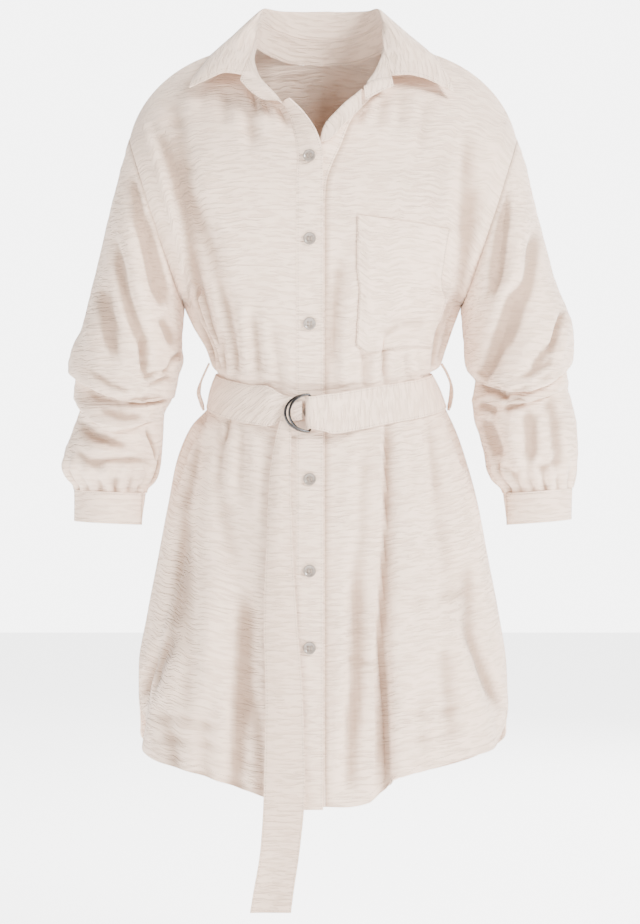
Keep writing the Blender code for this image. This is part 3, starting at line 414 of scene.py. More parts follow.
# The belt's right end turns back round the rings' bars. Its left end passes under the rings.
BELT_FOLD = (
    # x  y  z_top  z_low
    (-3, -98.4, -391, -428),
    (-12, -98.7, -391, -427),
    (-17.4, -100.3, -391, -427),
    (-19.0, -102.9, -391, -427),
    (-17.4, -105.5, -391, -427),
    (-12, -107.2, -391, -427),
    (2, -106.2, -389, -430),
    (18, -103.5, -387, -432),
)
BELT_END = ((-62, -95.5, -379, -424), (-47, -98.4, -388, -420), (-34, -99.6, -392, -418),
            (-23.5, -100.2, -394, -417))
# Sections of the free end: height, left and right edge, depth, and how far its middle stands out.
TAIL = (
    # z     left   right  y     bulge
    (-397, -41.5, -31.0, -103.6, 0.0),
    (-412, -46.0, -35.5, -104.2, 0.3),
    (-432, -51.5, -35.5, -104.9, 1.5),
    (-484, -59.5, -36.0, -111.5, 5.0),
    (-554, -62.5, -34.0, -119.0, 4.5),
    (-638, -65.5, -29.0, -127.0, 3.5),
    (-727, -63.5, -22.3, -133.0, 3.0),
    (-821, -65.2, -20.0, -138.0, 2.0),
    (-889, -69.0, -25.5, -140.0, -2.0),
    (-934, -76.2, -32.0, -140.0, -3.0),
    (-960, -80.6, -35.4, -140.0, -1.0),
)

# Belt loops at the side seams, as seen from the front.
LOOP_WIDTH = 6.0
LOOP_TURN = (10, 28)        # degrees by which a loop is turned, and by which it turns further
RIGHT_LOOP = ((-131.2, -350), (-136, -360), (-141, -372), (-143.5, -384), (-140.5, -395),
              (-137.6, -404.5))
LEFT_LOOP = ((136.4, -350.5), (142.6, -361), (147.5, -374), (148, -386), (146.5, -396),
             (144.6, -404.5))

# Creases, as seen from straight in front at the camera's distance: start and end across and up,
# how far the middle bows, depth (inwards is below 0), half width, and lean to one side.
RIGHT_CREASES = (
    (-195, -77, -159, -204, 3, -4.0, 9, 0.3),
    (-159, -204, -122, -355, -4, -5.0, 8, 0.4),
    (-173, -51, -155, -152, 1, -3.5, 12, 0),
    (-155, -152, -122, -258, 3, -3.5, 11, 0),
    (-122, -258, -102, -362, 3, -4.5, 6, 0.3),
    (-117, -307, -115, -360, 0, -3.5, 3.5, 0.3),
    (-110, -321, -108, -360, 0, 2.0, 3.5, 0),
    (-84, -291, -75, -369, 1, -2.5, 8, 0),
    (-61, -302, -50, -381, 1, -1.8, 7, 0),
    (-91, -277, -87, -360, 0, 1.8, 6, 0),
    (-84, -32, -76, -58, 1, -4.0, 4, 0),
    (-69, -45, -61, -65, 0, -3.5, 3.5, 0),
    (-88, -51, -82, -99, 1, -2.5, 8, 0),
    (-50, -51, -38, -74, 1, -3.0, 7, 0),
    (-110, -35, -117, -75, 0, -2.0, 9, 0),
    (-136, -28, -142, -104, 0, -1.5, 10, 0),
    (-108, -406, -114, -439, 0, -4.0, 3.5, 0.2),
    (-133, -399, -142, -422, 0, -4.0, 4, 0.2),
    (-147, -439, -162, -515, 2, -3.0, 9, 0),
    (-162, -515, -180, -667, 3, -4.0, 10, 0.3),
    (-180, -667, -207, -732, -1, -5.0, 9, 0.4),
    (-117, -422, -122, -485, 0, -2.5, 8, 0),
    (-96, -420, -98, -508, 0, -2.0, 7, 0),
    (-78, -420, -77, -531, 0, 1.5, 7, 0),
    (-122, -485, -105, -577, 0, -2.0, 11, 0),
    (-91, -623, -95, -758, 0, -4.0, 12, 0.2),
    (-95, -727, -103, -842, 0, -4.0, 12, 0.2),
    (-125, -577, -135, -739, 0, 2.5, 14, 0),
    (-147, -577, -165, -808, 0, -1.8, 13, 0),
    (-188, -744, -171, -819, 0, -2.5, 9, 0),
    (-75, -739, -70, -854, 0, -3.0, 8, 0),
    (-135, -739, -137, -842, 0, -2.0, 11, 0),
    (-200, -757, -125, -771, 2, -1.4, 5, 0),
    (-188, -782, -102, -799, 2, -1.4, 5, 0),
    (-153, -697, -84, -704, 2, -1.2, 5, 0),
    (-165, -819, -84, -838, 1, -1.4, 4.5, 0),
)
LEFT_CREASES = (
    (50, -43, 39, -70, 0, -4.0, 5, 0),
    (33, -55, 22, -78, 0, -2.5, 5, 0),
    (72, -37, 66, -75, 0, -2.5, 8, 0),
    (91, -35, 89, -81, 0, -2.2, 9, 0),
    (118, -42, 115, -104, 0, -1.8, 9, 0),
    (149, -104, 142, -179, 0, 2.0, 10, 0),
    (170, -81, 160, -208, -2, -2.5, 11, 0),
    (181, -138, 159, -277, -2, -3.0, 9, 0),
    (135, -300, 128, -360, 0, -4.0, 5, -0.3),
    (147, -277, 136, -355, -1, -3.0, 6, 0),
    (70, -317, 72, -376, -1, -4.5, 4.5, 0.4),
    (46, -337, 47, -379, 0, -3.2, 4, 0.3),
    (59, -335, 59, -376, 0, 1.8, 4, 0),
    (20, -228, 7, -358, 0, -2.8, 9, 0),
    (25, -277, 23, -379, 0, 1.5, 7, 0),
    (95, -337, 99, -369, 0, -2.5, 5, 0),
    (112, -335, 114, -365, 0, -2.0, 5, 0),
    (73, -420, 72, -545, 0, -5.0, 8, 0.6),
    (72, -545, 66, -669, 0, -5.0, 10, 0.6),
    (66, -669, 67, -838, 0, -6.0, 10, 0.6),
    (80, -439, 80, -669, 0, 2.5, 8, 0),
    (80, -646, 81, -819, 0, 3.0, 9, 0),
    (39, -577, 37, -762, 0, -3.5, 11, 0.2),
    (33, -739, 33, -842, 0, -3.0, 10, 0),
    (20, -623, 17, -819, 0, 2.0, 9, 0),
    (50, -439, 45, -577, 0, -2.0, 9, 0),
    (103, -420, 107, -508, 0, -2.0, 8, 0),
    (123, -415, 133, -508, 0, -2.5, 8, 0),
    (133, -508, 144, -646, 2, -2.0, 12, 0),
    (107, -531, 110, -681, 0, -1.8, 12, 0),
    (168, -577, 172, -669, 0, -3.0, 10, -0.3),
    (171, -659, 203, -744, -1, -4.5, 7, -0.3),
    (141, -669, 149, -785, 0, -2.5, 12, 0),
    (112, -715, 117, -808, 0, -2.0, 10, 0),
    (93, -757, 170, -745, -2, -1.4, 5, 0),
    (89, -787, 158, -773, -2, -1.4, 5, 0),
    (13, -692, 61, -697, 1, -1.2, 5, 0),
    (100, -623, 167, -612, -2, -1.2, 5, 0),
    (100, -233, 135, -245, 0, -1.2, 6, 0),
)
POCKET_CREASES = (
    (67, -316, 85, -305, -2, -3.0, 5, 0),
    (85, -306, 117, -304, 1, -3.0, 5, 0),
    (87, -320, 117, -316, 0, 1.8, 4, 0),
    (73, -321, 70, -335, 0, -2.5, 4, 0),
    (50, -219, 50, -312, 0, -1.0, 6, 0),
    (135, -219, 127, -312, 0, -1.5, 6, 0),
)
RIGHT_SLEEVE_CREASES = (
    (-204, -190, -186, -277, -2, -4.5, 11, 0),
    (-220, -138, -209, -202, 0, -2.0, 10, 0),
    (-237, -219, -211, -329, -3, -3.5, 10, 0.4),
    (-211, -321, -207, -362, -1, -5.5, 5, 0.5),
    (-225, -208, -200, -312, -3, 2.5, 10, 0),
    (-253, -265, -243, -337, -2, -2.5, 12, 0),
    (-267, -300, -257, -355, -1, 1.8, 9, 0),
    (-190, -298, -174, -328, 2, -2.5, 7, 0),
    (-160, -336, -182, -359, -2, -6.5, 3.2, 0),
    (-179, -358, -205, -368, -1, -6.5, 3.2, 0),
    (-163, -344, -197, -370, -3, 3.5, 4, 0),
    (-174, -367, -202, -376, -2, -5.0, 3, 0),
    (-269, -360, -223, -383, -2, -2.0, 5, 0),
    (-271, -383, -225, -398, -2, -2.0, 5, 0),
    (-286, -395, -237, -425, -3, 2.5, 7, 0),
    (-257, -406, -209, -411, -2, -2.5, 6, 0),
    (-225, -395, -179, -395, 2, -3.0, 5, 0),
    (-278, -425, -225, -450, -2, -3.5, 6, 0),
    (-269, -445, -211, -452, -3, 2.0, 6, 0),
    (-273, -466, -204, -463, 3, -3.0, 5, 0),
    (-285, -452, -257, -473, 0, -2.0, 5, 0),
    (-260, -478, -211, -473, 2, 1.8, 5, 0),
    (-204, -428, -196, -448, 0, -5.0, 2.6, 0.3),
    (-196, -448, -190, -467, 0, -5.0, 2.6, 0.3),
    (-190, -467, -202, -492, 2, -4.5, 2.6, 0.3),
)
LEFT_SLEEVE_CREASES = (
    (211, -162, 196, -271, 2, -3.5, 10, 0),
    (230, -173, 218, -265, 0, 2.5, 11, 0),
    (241, -202, 232, -277, 0, -2.5, 10, 0),
    (224, -263, 200, -329, 2, -4.5, 11, 0.2),
    (201, -329, 183, -369, 1, -3.5, 8, 0),
    (250, -300, 218, -360, 3, 2.0, 9, 0),
    (277, -292, 270, -313, 0, -8.0, 3.6, 0),
    (270, -313, 262, -337, 1, -8.0, 3.6, 0),
    (262, -329, 241, -353, 1, -3.0, 5, 0),
    (280, -317, 269, -349, 1, 3.0, 4, 0),
    (269, -343, 227, -369, 2, -2.8, 5, 0),
    (250, -365, 210, -379, 1, 2.0, 5, 0),
    (188, -380, 213, -389, 3, -6.0, 4, 0),
    (172, -388, 177, -390, 0, -5.0, 3, 0),
    (179, -398, 200, -407, 2, -3.5, 5, 0),
    (210, -404, 232, -395, 2, -3.5, 5, 0),
    (204, -390, 273, -362, 1, -2.5, 4, 0),
    (186, -415, 204, -456, -2, -2.5, 9, 0),
    (239, -404, 242, -462, 0, -2.5, 10, 0),
    (218, -415, 220, -473, 0, 1.8, 9, 0),
    (262, -392, 271, -467, 1, -2.0, 9, 0),
    (198, -467, 227, -482, 1, -1.8, 5, 0),
    (245, -473, 269, -464, -1, -1.6, 5, 0),
    (174, -360, 188, -381, 2, -3.0, 5, 0),
)
# The same for the belt
BELT_CREASES = (
    (-118, -372, -60, -384, 2, -1.2, 4, 0),
    (-126, -392, -58, -402, -1, -1.0, 4, 0),
    (-90, -404, -46, -412, 0, -1.2, 3.5, 0),
    (-66, -392, -40, -402, 0, 1.0, 3, 0),
    (-8, -392, 26, -384, 1, -1.6, 4, 0),
    (-6, -402, 40, -398, -1, -1.8, 4, 0),
    (-6, -412, 34, -414, 1, -1.6, 4, 0),
    (-4, -422, 30, -428, 0, -1.2, 4, 0),
    (20, -391, 60, -386, 0, 1.0, 4, 0),
    (44, -404, 96, -398, 1, -0.9, 5, 0),
    (84, -388, 124, -380, 0, -0.9, 5, 0),
)
# The same for the back and the sleeves' backs, square from behind, with the wearer's left at +X
BACK_CREASES = (
    (-150, -120, -104, -352, -8, -4.5, 10, 0.2),
    (-118, -150, -84, -352, -5, -3.0, 9, 0),
    (152, -124, 108, -352, 8, -4.5, 10, -0.2),
    (120, -170, 80, -350, 5, -3.0, 9, 0),
    (-60, -240, -52, -352, 0, -3.0, 7, 0),
    (-30, -272, -27, -352, 0, -2.6, 5, 0),
    (-8, -250, -6, -352, 0, -2.6, 7, 0),
    (22, -282, 20, -352, 0, -2.8, 5, 0),
    (50, -256, 44, -352, 0, -3.2, 6, 0),
    (66, -300, 62, -352, 0, 1.8, 5, 0),
    (-44, -300, -40, -352, 0, 1.8, 5, 0),
    (-60, 4, -86, -60, -2, -2.0, 10, 0),
    (62, 4, 88, -60, 2, -2.0, 10, 0),
    (0, -20, 2, -120, 0, -1.6, 12, 0),
    (-110, -420, -130, -560, 0, -3.2, 9, 0),
    (-130, -560, -158, -760, 0, -4.0, 12, 0),
    (-62, -418, -66, -600, 0, -3.4, 9, 0.2),
    (-66, -600, -80, -800, 0, -4.0, 12, 0.2),
    (-24, -416, -20, -640, 0, -2.6, 9, 0),
    (-20, -640, -16, -820, 0, -3.2, 12, 0),
    (18, -416, 28, -600, 0, 2.0, 9, 0),
    (48, -418, 56, -620, 0, -3.4, 8, -0.3),
    (56, -620, 60, -810, 0, -4.2, 11, -0.3),
    (96, -420, 116, -580, 0, -3.2, 9, 0),
    (116, -580, 140, -770, 0, -4.0, 12, 0),
    (132, -470, 166, -640, 0, -2.4, 11, 0),
    (-140, -700, -60, -716, 2, -1.4, 5, 0),
    (10, -742, 110, -730, -2, -1.4, 5, 0),
    (-100, -776, -10, -788, 1, -1.4, 5, 0),
    (60, -690, 150, -676, -2, -1.3, 5, 0),
)
RIGHT_SLEEVE_BACK = (
    (-206, -180, -190, -290, -3, -3.6, 11, 0),
    (-232, -200, -216, -318, 3, -3.0, 11, 0),
    (-252, -260, -240, -340, 0, 2.0, 10, 0),
    (-182, -300, -176, -352, 0, -3.2, 6, 0),
    (-278, -374, -214, -392, -3, -2.4, 5, 0),
    (-262, -398, -200, -404, 2, -2.6, 5, 0),
    (-280, -420, -226, -440, -3, -3.0, 6, 0),
    (-262, -452, -208, -456, 2, -2.4, 6, 0),
    (-240, -412, -236, -466, 0, 1.6, 8, 0),
)
LEFT_SLEEVE_BACK = (
    (204, -170, 190, -286, 3, -3.6, 11, 0),
    (230, -190, 216, -312, -3, -3.0, 11, 0),
    (250, -252, 240, -330, 0, 2.0, 10, 0),
    (180, -300, 176, -350, 0, -3.2, 6, 0),
    (272, -360, 212, -382, 3, -2.4, 5, 0),
    (258, -386, 198, -396, -2, -2.6, 5, 0),
    (274, -410, 222, -432, 3, -3.0, 6, 0),
    (258, -446, 206, -452, -2, -2.4, 6, 0),
    (238, -404, 236, -460, 0, 1.6, 8, 0),
)


# Curves through tables

def between(t, start, end, leave, arrive):
    """A cubic from start to end as t goes from 0 to 1, by how steeply it leaves and arrives."""
    return (
        (2 * t**3 - 3 * t**2 + 1) * start
        + (t**3 - 2 * t**2 + t) * leave
        + (3 * t**2 - 2 * t**3) * end
        + (t**3 - t**2) * arrive
    )


def steady(knots, rows, at):
    """Read a table between its rows by a cubic that doesn't overshoot them."""
    knots = np.asarray(knots, float)
    rows = np.asarray(rows, float)
    at = np.atleast_1d(np.asarray(at, float))
    step = np.diff(knots)
    slope = (np.diff(rows, axis=0).T / step).T
    inner = slope[:-1] * slope[1:]
    total = slope[:-1] + slope[1:]
    bend = np.where(inner > 0, 2 * inner / np.where(total == 0, 1, total), 0)
    tangent = np.concatenate([slope[:1], bend, slope[-1:]])
    place = np.clip(np.searchsorted(knots, at, side="right") - 1, 0, len(knots) - 2)
    t = ((at - knots[place]) / step[place]).reshape([-1] + [1] * (rows.ndim - 1))
    h = step[place].reshape(t.shape)
    return between(t, rows[place], rows[place + 1], h * tangent[place], h * tangent[place + 1])


def rounded(rows, at):
    """Read evenly spaced rows by a curve that swings through them."""
    rows = np.asarray(rows, float)
    at = np.atleast_1d(np.asarray(at, float))
    before = np.concatenate([2 * rows[:1] - rows[1:2], rows, 2 * rows[-1:] - rows[-2:-1]])
    tangent = (before[2:] - before[:-2]) / 2
    place = np.clip(np.floor(at).astype(int), 0, len(rows) - 2)
    t = (at - place).reshape([-1] + [1] * (rows.ndim - 1))
    return between(t, rows[place], rows[place + 1], tangent[place], tangent[place + 1])


def ease(value, start, end):
    """0 at start and 1 at end, with a smooth way between."""
    t = np.clip((value - start) / (end - start), 0, 1)
    return t * t * (3 - 2 * t)


def unit(vectors):
    """Directions of length one."""
    return vectors / np.maximum(np.linalg.norm(vectors, axis=-1, keepdims=True), 1e-9)


def facing(grid):
    """The direction square to a grid of points at each of them."""
    return unit(np.cross(np.gradient(grid, axis=1), np.gradient(grid, axis=0)))


# The body

def armhole(angle, back=False):
    """A point on the armhole, by degrees from its top, for a side at +X."""
    top = np.array(ARMHOLE_TOP)
    low = np.array(ARMHOLE_BOTTOM)
    a = np.radians(angle)
    bulge = ARMHOLE_BACK if back else -ARMHOLE_FRONT
    point = (top + low) / 2 + (top - low) / 2 * np.cos(a)
    return point + np.array([0, bulge * np.sin(a), 0])


def section_table(piece):
    """Rows of inner end, outer end, turn and drop for one half of the front or back."""
    table = []
    if piece == "back":
        for (z_in, y_in), (_, _, z_out, w_right, w_left) in zip(BACK_ROWS, FRONT_ROWS):
            table.append((0, y_in, z_in, (w_right + w_left) / 2, 0, z_out, 90, 0))
        chest = BACK_CHEST
    else:
        for z_in, y_in, z_out, w_right, w_left in FRONT_ROWS:
            x_in, width = (BAND_WIDTH, w_right) if piece == "right" else (2, w_left)
            table.append((x_in, y_in, z_in, width, 0, z_out, 90, 0))
        chest = RIGHT_CHEST if piece == "right" else LEFT_CHEST
    for x_in, y_in, z_in, angle, turn, drop in chest:
        table.append((x_in, y_in, z_in, *armhole(angle, piece == "back"), turn, drop))
    return np.array(table, float)


def body(piece, us, vs, side=1, trim=True):
    """Points of a half of the front or back, before its folds, for a side at +X or -X."""
    table = section_table(piece)
    last = len(table) - 1
    vs = np.asarray(vs, float)
    if trim:
        vs = np.where(vs >= last, last - 0.5 * CORNER_SEAM / TOP_ROW, vs)
    rows = steady(np.arange(last + 1), table, vs)[:, None, :]
    width = rows[..., 3]
    if piece == "back" and side < 0:
        width = width + width_difference(vs)[:, None] / 2
    if piece == "back" and side > 0:
        width = width - width_difference(vs)[:, None] / 2
    inner, outer = rows[..., 0:3], np.stack([width, rows[..., 4], rows[..., 5]], axis=-1)
    length = np.linalg.norm(outer - inner, axis=-1) * BOWED
    us = np.asarray(us, float)[None, :] * np.ones((len(vs), 1))
    if trim:
        slant = ease(vs[:, None], *SLANT)
        start = (SEAM / 2 + (SLANT_SEAM - SEAM / 2) * slant) / length
        if piece == "back":
            start = 0
        end = np.where(vs[:, None] > UNDERARM, SEAM, SEAM / 2) / length
        us = start + us * (1 - start - end)
    turn = np.radians(rows[..., 6])
    along = np.sin(turn * us) / np.sin(turn)
    across = (1 - np.cos(turn * us)) / (1 - np.cos(turn))
    drop = rows[..., 7]
    x = inner[..., 0] + (outer[..., 0] - inner[..., 0]) * along
    y = inner[..., 1] + (outer[..., 1] - inner[..., 1]) * across
    z = inner[..., 2] + (outer[..., 2] - inner[..., 2]) * ((1 - drop) * us + drop * across)
    hem = {"right": RIGHT_HEM, "left": LEFT_HEM, "back": BACK_HEM}[piece]
    hem_u, hem_z = zip(*hem)
    level = steady(hem_u, hem_z, us.ravel()).reshape(us.shape)
    share = np.clip(1 - vs, 0, 1)[:, None]
    z = z + share * (level - z) * share
    if piece == "left":
        y = y + LAP * (1 - ease(us, 0.0, 0.6)) * (1 - ease(vs, 18, 21))[:, None]
    return np.stack([side * x, y, z], axis=-1)


def width_difference(vs):
    """How much wider the right half is than the left, by section."""
    rows = [row[3] - row[4] for row in FRONT_ROWS] + [0] * len(BACK_CHEST)
    return steady(np.arange(len(rows)), rows, vs)


def folded(grid, folds, edges):
    """Press a table of folds into a grid, fading them so far from its inner and outer edge."""
    normal = facing(grid)
    reach = steps(grid, 1)
    length = reach[:, -1:]
    z = grid[..., 2]
    push = np.zeros(z.shape)
    for u_top, z_top, u_low, z_low, depth, width in folds:
        t = (z_top - z) / (z_top - z_low)
        centre = (u_top + (u_low - u_top) * np.clip(t, 0, 1)) * length
        end = 1.0 if z_low < -700 else ease(t, 1.0, 0.75)
        push += depth * ease(t, 0.0, 0.25) * end * np.exp(-(((reach - centre) / width) ** 2))
    push *= ease(length - reach, 0, edges[1])
    if edges[0] > 0:
        push *= ease(reach, 0, edges[0])
    return grid + normal * push[..., None]


def ring(row, degrees, side):
    """Points round a sleeve or cuff, from its outer edge over the front to its inner edge."""
    x_out, z_out, x_in, z_in, front, front_sag, back, back_sag = row
    a = np.radians(degrees)
    cos, sin = np.cos(a), np.sin(a)
    reach = np.where(sin > 0, front, back)
    sag = np.where(sin > 0, front_sag, back_sag)
    x = (x_out + x_in) / 2 + (x_out - x_in) / 2 * cos
    z = (z_out + z_in) / 2 + (z_out - z_in) / 2 * cos + sag * sin**2
    y = -reach * sin
    return np.stack([side * x, y, z], axis=-1)


def armhole_ring(degrees, side):
    """The armhole's own points, moved out along the arm by the seam."""
    top = np.array(ARMHOLE_TOP)
    low = np.array(ARMHOLE_BOTTOM)
    along = unit(top - low)
    out = np.array([along[2], 0, -along[0]])
    points = []
    for d in degrees:
        turned = d % 360
        back = turned > 180
        point = armhole(turned if not back else 360 - turned, back)
        share = (1 - np.cos(np.radians(turned))) / 2
        space = ARMHOLE_SEAM[0] + (ARMHOLE_SEAM[1] - ARMHOLE_SEAM[0]) * share
        points.append(point + out * space)
    return np.array(points) * np.array([side, 1, 1])


def spread(row, degrees, side, amount):
    """A move away from a ring's middle, in the ring's plane."""
    a = np.radians(degrees)
    out = np.stack([side * np.cos(a), -np.sin(a), np.zeros(len(a))], axis=-1)
    return out * np.asarray(amount)[:, None]


# Fine grids

def even(low, high, ends):
    """Places between whole rows, given the longest way from each row to the next."""
    places = [float(low)]
    for k in range(low, high):
        count = max(1, int(np.ceil(ends[k] / STEP)))
        places.extend(k + (np.arange(count) + 1) / count)
    return np.array(places)


def fine_sections(piece, low=0, high=None):
    """Places up a half of the front or back, close enough together for a smooth sheet."""
    table = section_table(piece)
    inner = np.linalg.norm(np.diff(table[:, 0:3], axis=0), axis=1)
    outer = np.linalg.norm(np.diff(table[:, 3:6], axis=0), axis=1)
    return even(low, high or len(table) - 1, np.maximum(inner, outer))


def steps(grid, axis):
    """How far each point is from the grid's first one along a row (1) or a column (0)."""
    length = np.linalg.norm(np.diff(grid, axis=axis), axis=-1)
    start = np.zeros_like(np.take(length, [0], axis=axis))
    return np.concatenate([start, np.cumsum(length, axis=axis)], axis=axis)


def as_seen(grid):
    """Where the picture's camera sees points, in the plane of the shoulders."""
    x, y, z = np.moveaxis(grid, -1, 0)
    scale = -CAMERA[1] / (y - CAMERA[1])
    return CAMERA[0] + (x - CAMERA[0]) * scale, CAMERA[2] + (z - CAMERA[2]) * scale


def creased(grid, creases, behind=False, centre=INSIDE, wrap=False):
    """Press creases into the side of a grid that faces the camera, or into the other side."""
    out = cloth_normals(grid, centre, wrap)
    a, b = (grid[..., 0], grid[..., 2]) if behind else as_seen(grid)
    shown = ease(out[..., 1] * (1 if behind else -1), *SEEN)
    push = np.zeros(a.shape)
    for a0, b0, a1, b1, bow, depth, width, lean in creases:
        depth = depth * (1 + CREASE_GAIN * ease(width, *CREASE_WIDTHS))
        along = np.array([a1 - a0, b1 - b0], float)
        length = np.hypot(*along)
        along /= length
        t = ((a - a0) * along[0] + (b - b0) * along[1]) / length
        off = (a - a0) * -along[1] + (b - b0) * along[0]
        off = off - bow * 4 * np.clip(t * (1 - t), -0.2, 1)
        spread_out = width * np.where(off > 0, 1 + lean, 1 - lean)
        shape = np.exp(-(off / spread_out) ** 2)
        beside = (np.abs(off) - RIDGE_PLACE * spread_out) / (RIDGE_WIDTH * spread_out)
        shape -= RIDGE_HEIGHT * np.exp(-beside ** 2)
        push += depth * shape * ease(t, -0.2, 0.25) * ease(t, 1.2, 0.75)
    return out, push * shown


def cloth_normals(grid, centre, wrap=False):
    """The direction out of a sheet at each point, away from a centre as a whole."""
    if wrap:
        padded = np.concatenate([grid[:, -2:], grid, grid[:, :2]], axis=1)
        normal = facing(padded)[:, 2:-2]
    else:
        normal = facing(grid)
    away = np.sum(normal * (grid - np.array(centre)), axis=-1)
    return normal * (1 if np.mean(away) > 0 else -1)


def ripple(along, across, seed, height):
    """Low uneven waves that run along one direction of a sheet, in millimetres."""
    random = np.random.default_rng(seed)
    total = np.zeros(np.shape(along))
    for period, length, size in RIPPLES:
        start = random.uniform(0, 2 * np.pi, 3)
        wander = np.sin(along * 2 * np.pi / length + start[0])
        wander += 0.6 * np.sin(along * 2 * np.pi / (0.57 * length) + start[1])
        total += size * np.sin(across * 2 * np.pi / period + 1.3 * wander + start[2])
    swell = 0.6 + 0.4 * np.sin(along / 47 + seed) * np.sin(across / 61 + 2 * seed)
    return height * total * swell / 1.6


def sample(places_v, places_u, grid, at_v, at_u):
    """Read a grid between its points, at rows of v and columns of u."""
    row = np.interp(at_v, places_v, np.arange(len(places_v)))
    column = np.interp(at_u, places_u, np.arange(len(places_u)))
    i = np.minimum(row.astype(int), len(places_v) - 2)
    j = np.minimum(column.astype(int), len(places_u) - 2)
    p, q = (row - i)[:, None, None], (column - j)[None, :, None]
    near = grid[i][:, j] * (1 - q) + grid[i][:, j + 1] * q
    far = grid[i + 1][:, j] * (1 - q) + grid[i + 1][:, j + 1] * q
    return near * (1 - p) + far * p


# Surfaces of the pieces

def mirrored(grid):
    """The same points on the dress's other side."""
    return grid * np.array([-1, 1, 1])


def body_surface(piece, side):
    """Sections, columns, points and creases' heights of a half of the front or back."""
    us = np.linspace(0, 1, ACROSS)
    vs = fine_sections(piece)
    grid = body(piece, us, vs, side)
    folds = {"right": RIGHT_FOLDS, "left": LEFT_FOLDS, "back": BACK_FOLDS}[piece]
    edges = BACK_FADES if piece == "back" else FADES
    if side > 0:
        grid = folded(grid, folds, edges)
    else:
        grid = mirrored(folded(mirrored(grid), folds, edges))
    creases = {"right": RIGHT_CREASES, "left": LEFT_CREASES, "back": BACK_CREASES}[piece]
    out, push = creased(grid, creases, behind=piece == "back")
    reach = steps(grid, 1)
    height = steps(grid, 0)
    push += ripple(reach * side, height, *WAVES[piece])
    under_belt = ease(vs, *UNDER_BELT[:2]) * ease(vs, *UNDER_BELT[:1:-1])
    push = np.where(push > 0, push * (1 - under_belt[:, None]), push)
    if piece != "back":
        push *= ease(reach, 0, FLAT_EDGES[0])
    push *= ease(reach[:, -1:] - reach, 0, FLAT_EDGES[1])
    push *= ease(vs, vs[-1], vs[-1] - 0.6)[:, None]
    return vs, us, grid + out * push[..., None], push


def band_grid(piece):
    """Points across a band, rounded where it rolls over, a little short of its seams."""
    side = -1 if piece == "right" else 1
    sections = fine_sections(piece, 0, BAND_TOP)
    seam = body(piece, [0], sections, side, trim=False)[:, 0]
    table = RIGHT_BAND if piece == "right" else LEFT_BAND
    direction = np.array([-side, 0, 0]) * BAND_WIDTH
    plain = sections < table[0][0] - 0.4
    lift = np.array([0, -BAND_LIFT, 0])
    knots = list(sections[plain]) + [row[0] for row in table]
    middles = list(seam[plain] + direction / 2 + lift) + [row[1] for row in table]
    frees = list(seam[plain] + direction + lift) + [row[2] for row in table]
    middle, free = steady(knots, middles, sections), steady(knots, frees, sections)
    space = SEAM / 2 + (SLANT_SEAM - SEAM / 2) * ease(sections, *SLANT)
    seam = seam + unit(middle - seam) * space[:, None]
    path = np.stack([seam, middle, free], axis=1)
    grid = np.array([rounded(row, np.linspace(0, 2, 17)) for row in path])
    grid[-1] -= unit(grid[-1] - grid[-2]) * SEAM / 2
    wave = ripple(steps(grid, 1), steps(grid, 0), *WAVES["band_" + piece])
    wave *= ease(steps(grid, 1), 0, 6)
    return grid + cloth_normals(grid, INSIDE) * wave[..., None]


def pocket_grid():
    """The patch pocket, out from the left front's own points, with a blunt lower point."""
    vs, us, front = body_surface("left", 1)[:3]
    at_u = np.linspace(*POCKET_SIDES, POCKET_GRID[1])
    at_v = np.linspace(*POCKET_ENDS, POCKET_GRID[0])
    patch = sample(vs, us, front, at_v, at_u)
    knots = np.linspace(0, 1, len(POCKET_POINT))
    point = np.interp(np.linspace(0, 1, len(at_u)), knots, POCKET_POINT)
    share = np.clip(1 - (at_v - POCKET_ENDS[0]) / POCKET_POINT_HEIGHT, 0, 1)
    above = sample(vs, us, front, np.array([POCKET_ENDS[0] + POCKET_POINT_HEIGHT]), at_u)[0]
    patch = patch + share[:, None, None] * (patch[0] - above)[None] * point[None, :, None]
    out, push = creased(patch, POCKET_CREASES)
    reach, height = steps(patch, 1), steps(patch, 0)
    edge = 1.0
    for away in (reach, reach[:, -1:] - reach, height):
        edge = edge * ease(away, 0, POCKET_EDGE)
    push = np.abs(push) * 0.9 * edge
    push += ease(height[-1:] - height, POCKET_TOP[0], 0) * POCKET_TOP[1]
    # The second value is painted shade where the pocket's creases and top stand off
    return patch + out * (POCKET_LIFT + POCKET_AIR + push[..., None]), -push


def gathered(number, rows):
    """How fully the pleats are drawn at a row of a sleeve."""
    return ease(number, len(rows) - GATHER_ROWS[0], len(rows) - GATHER_ROWS[1])


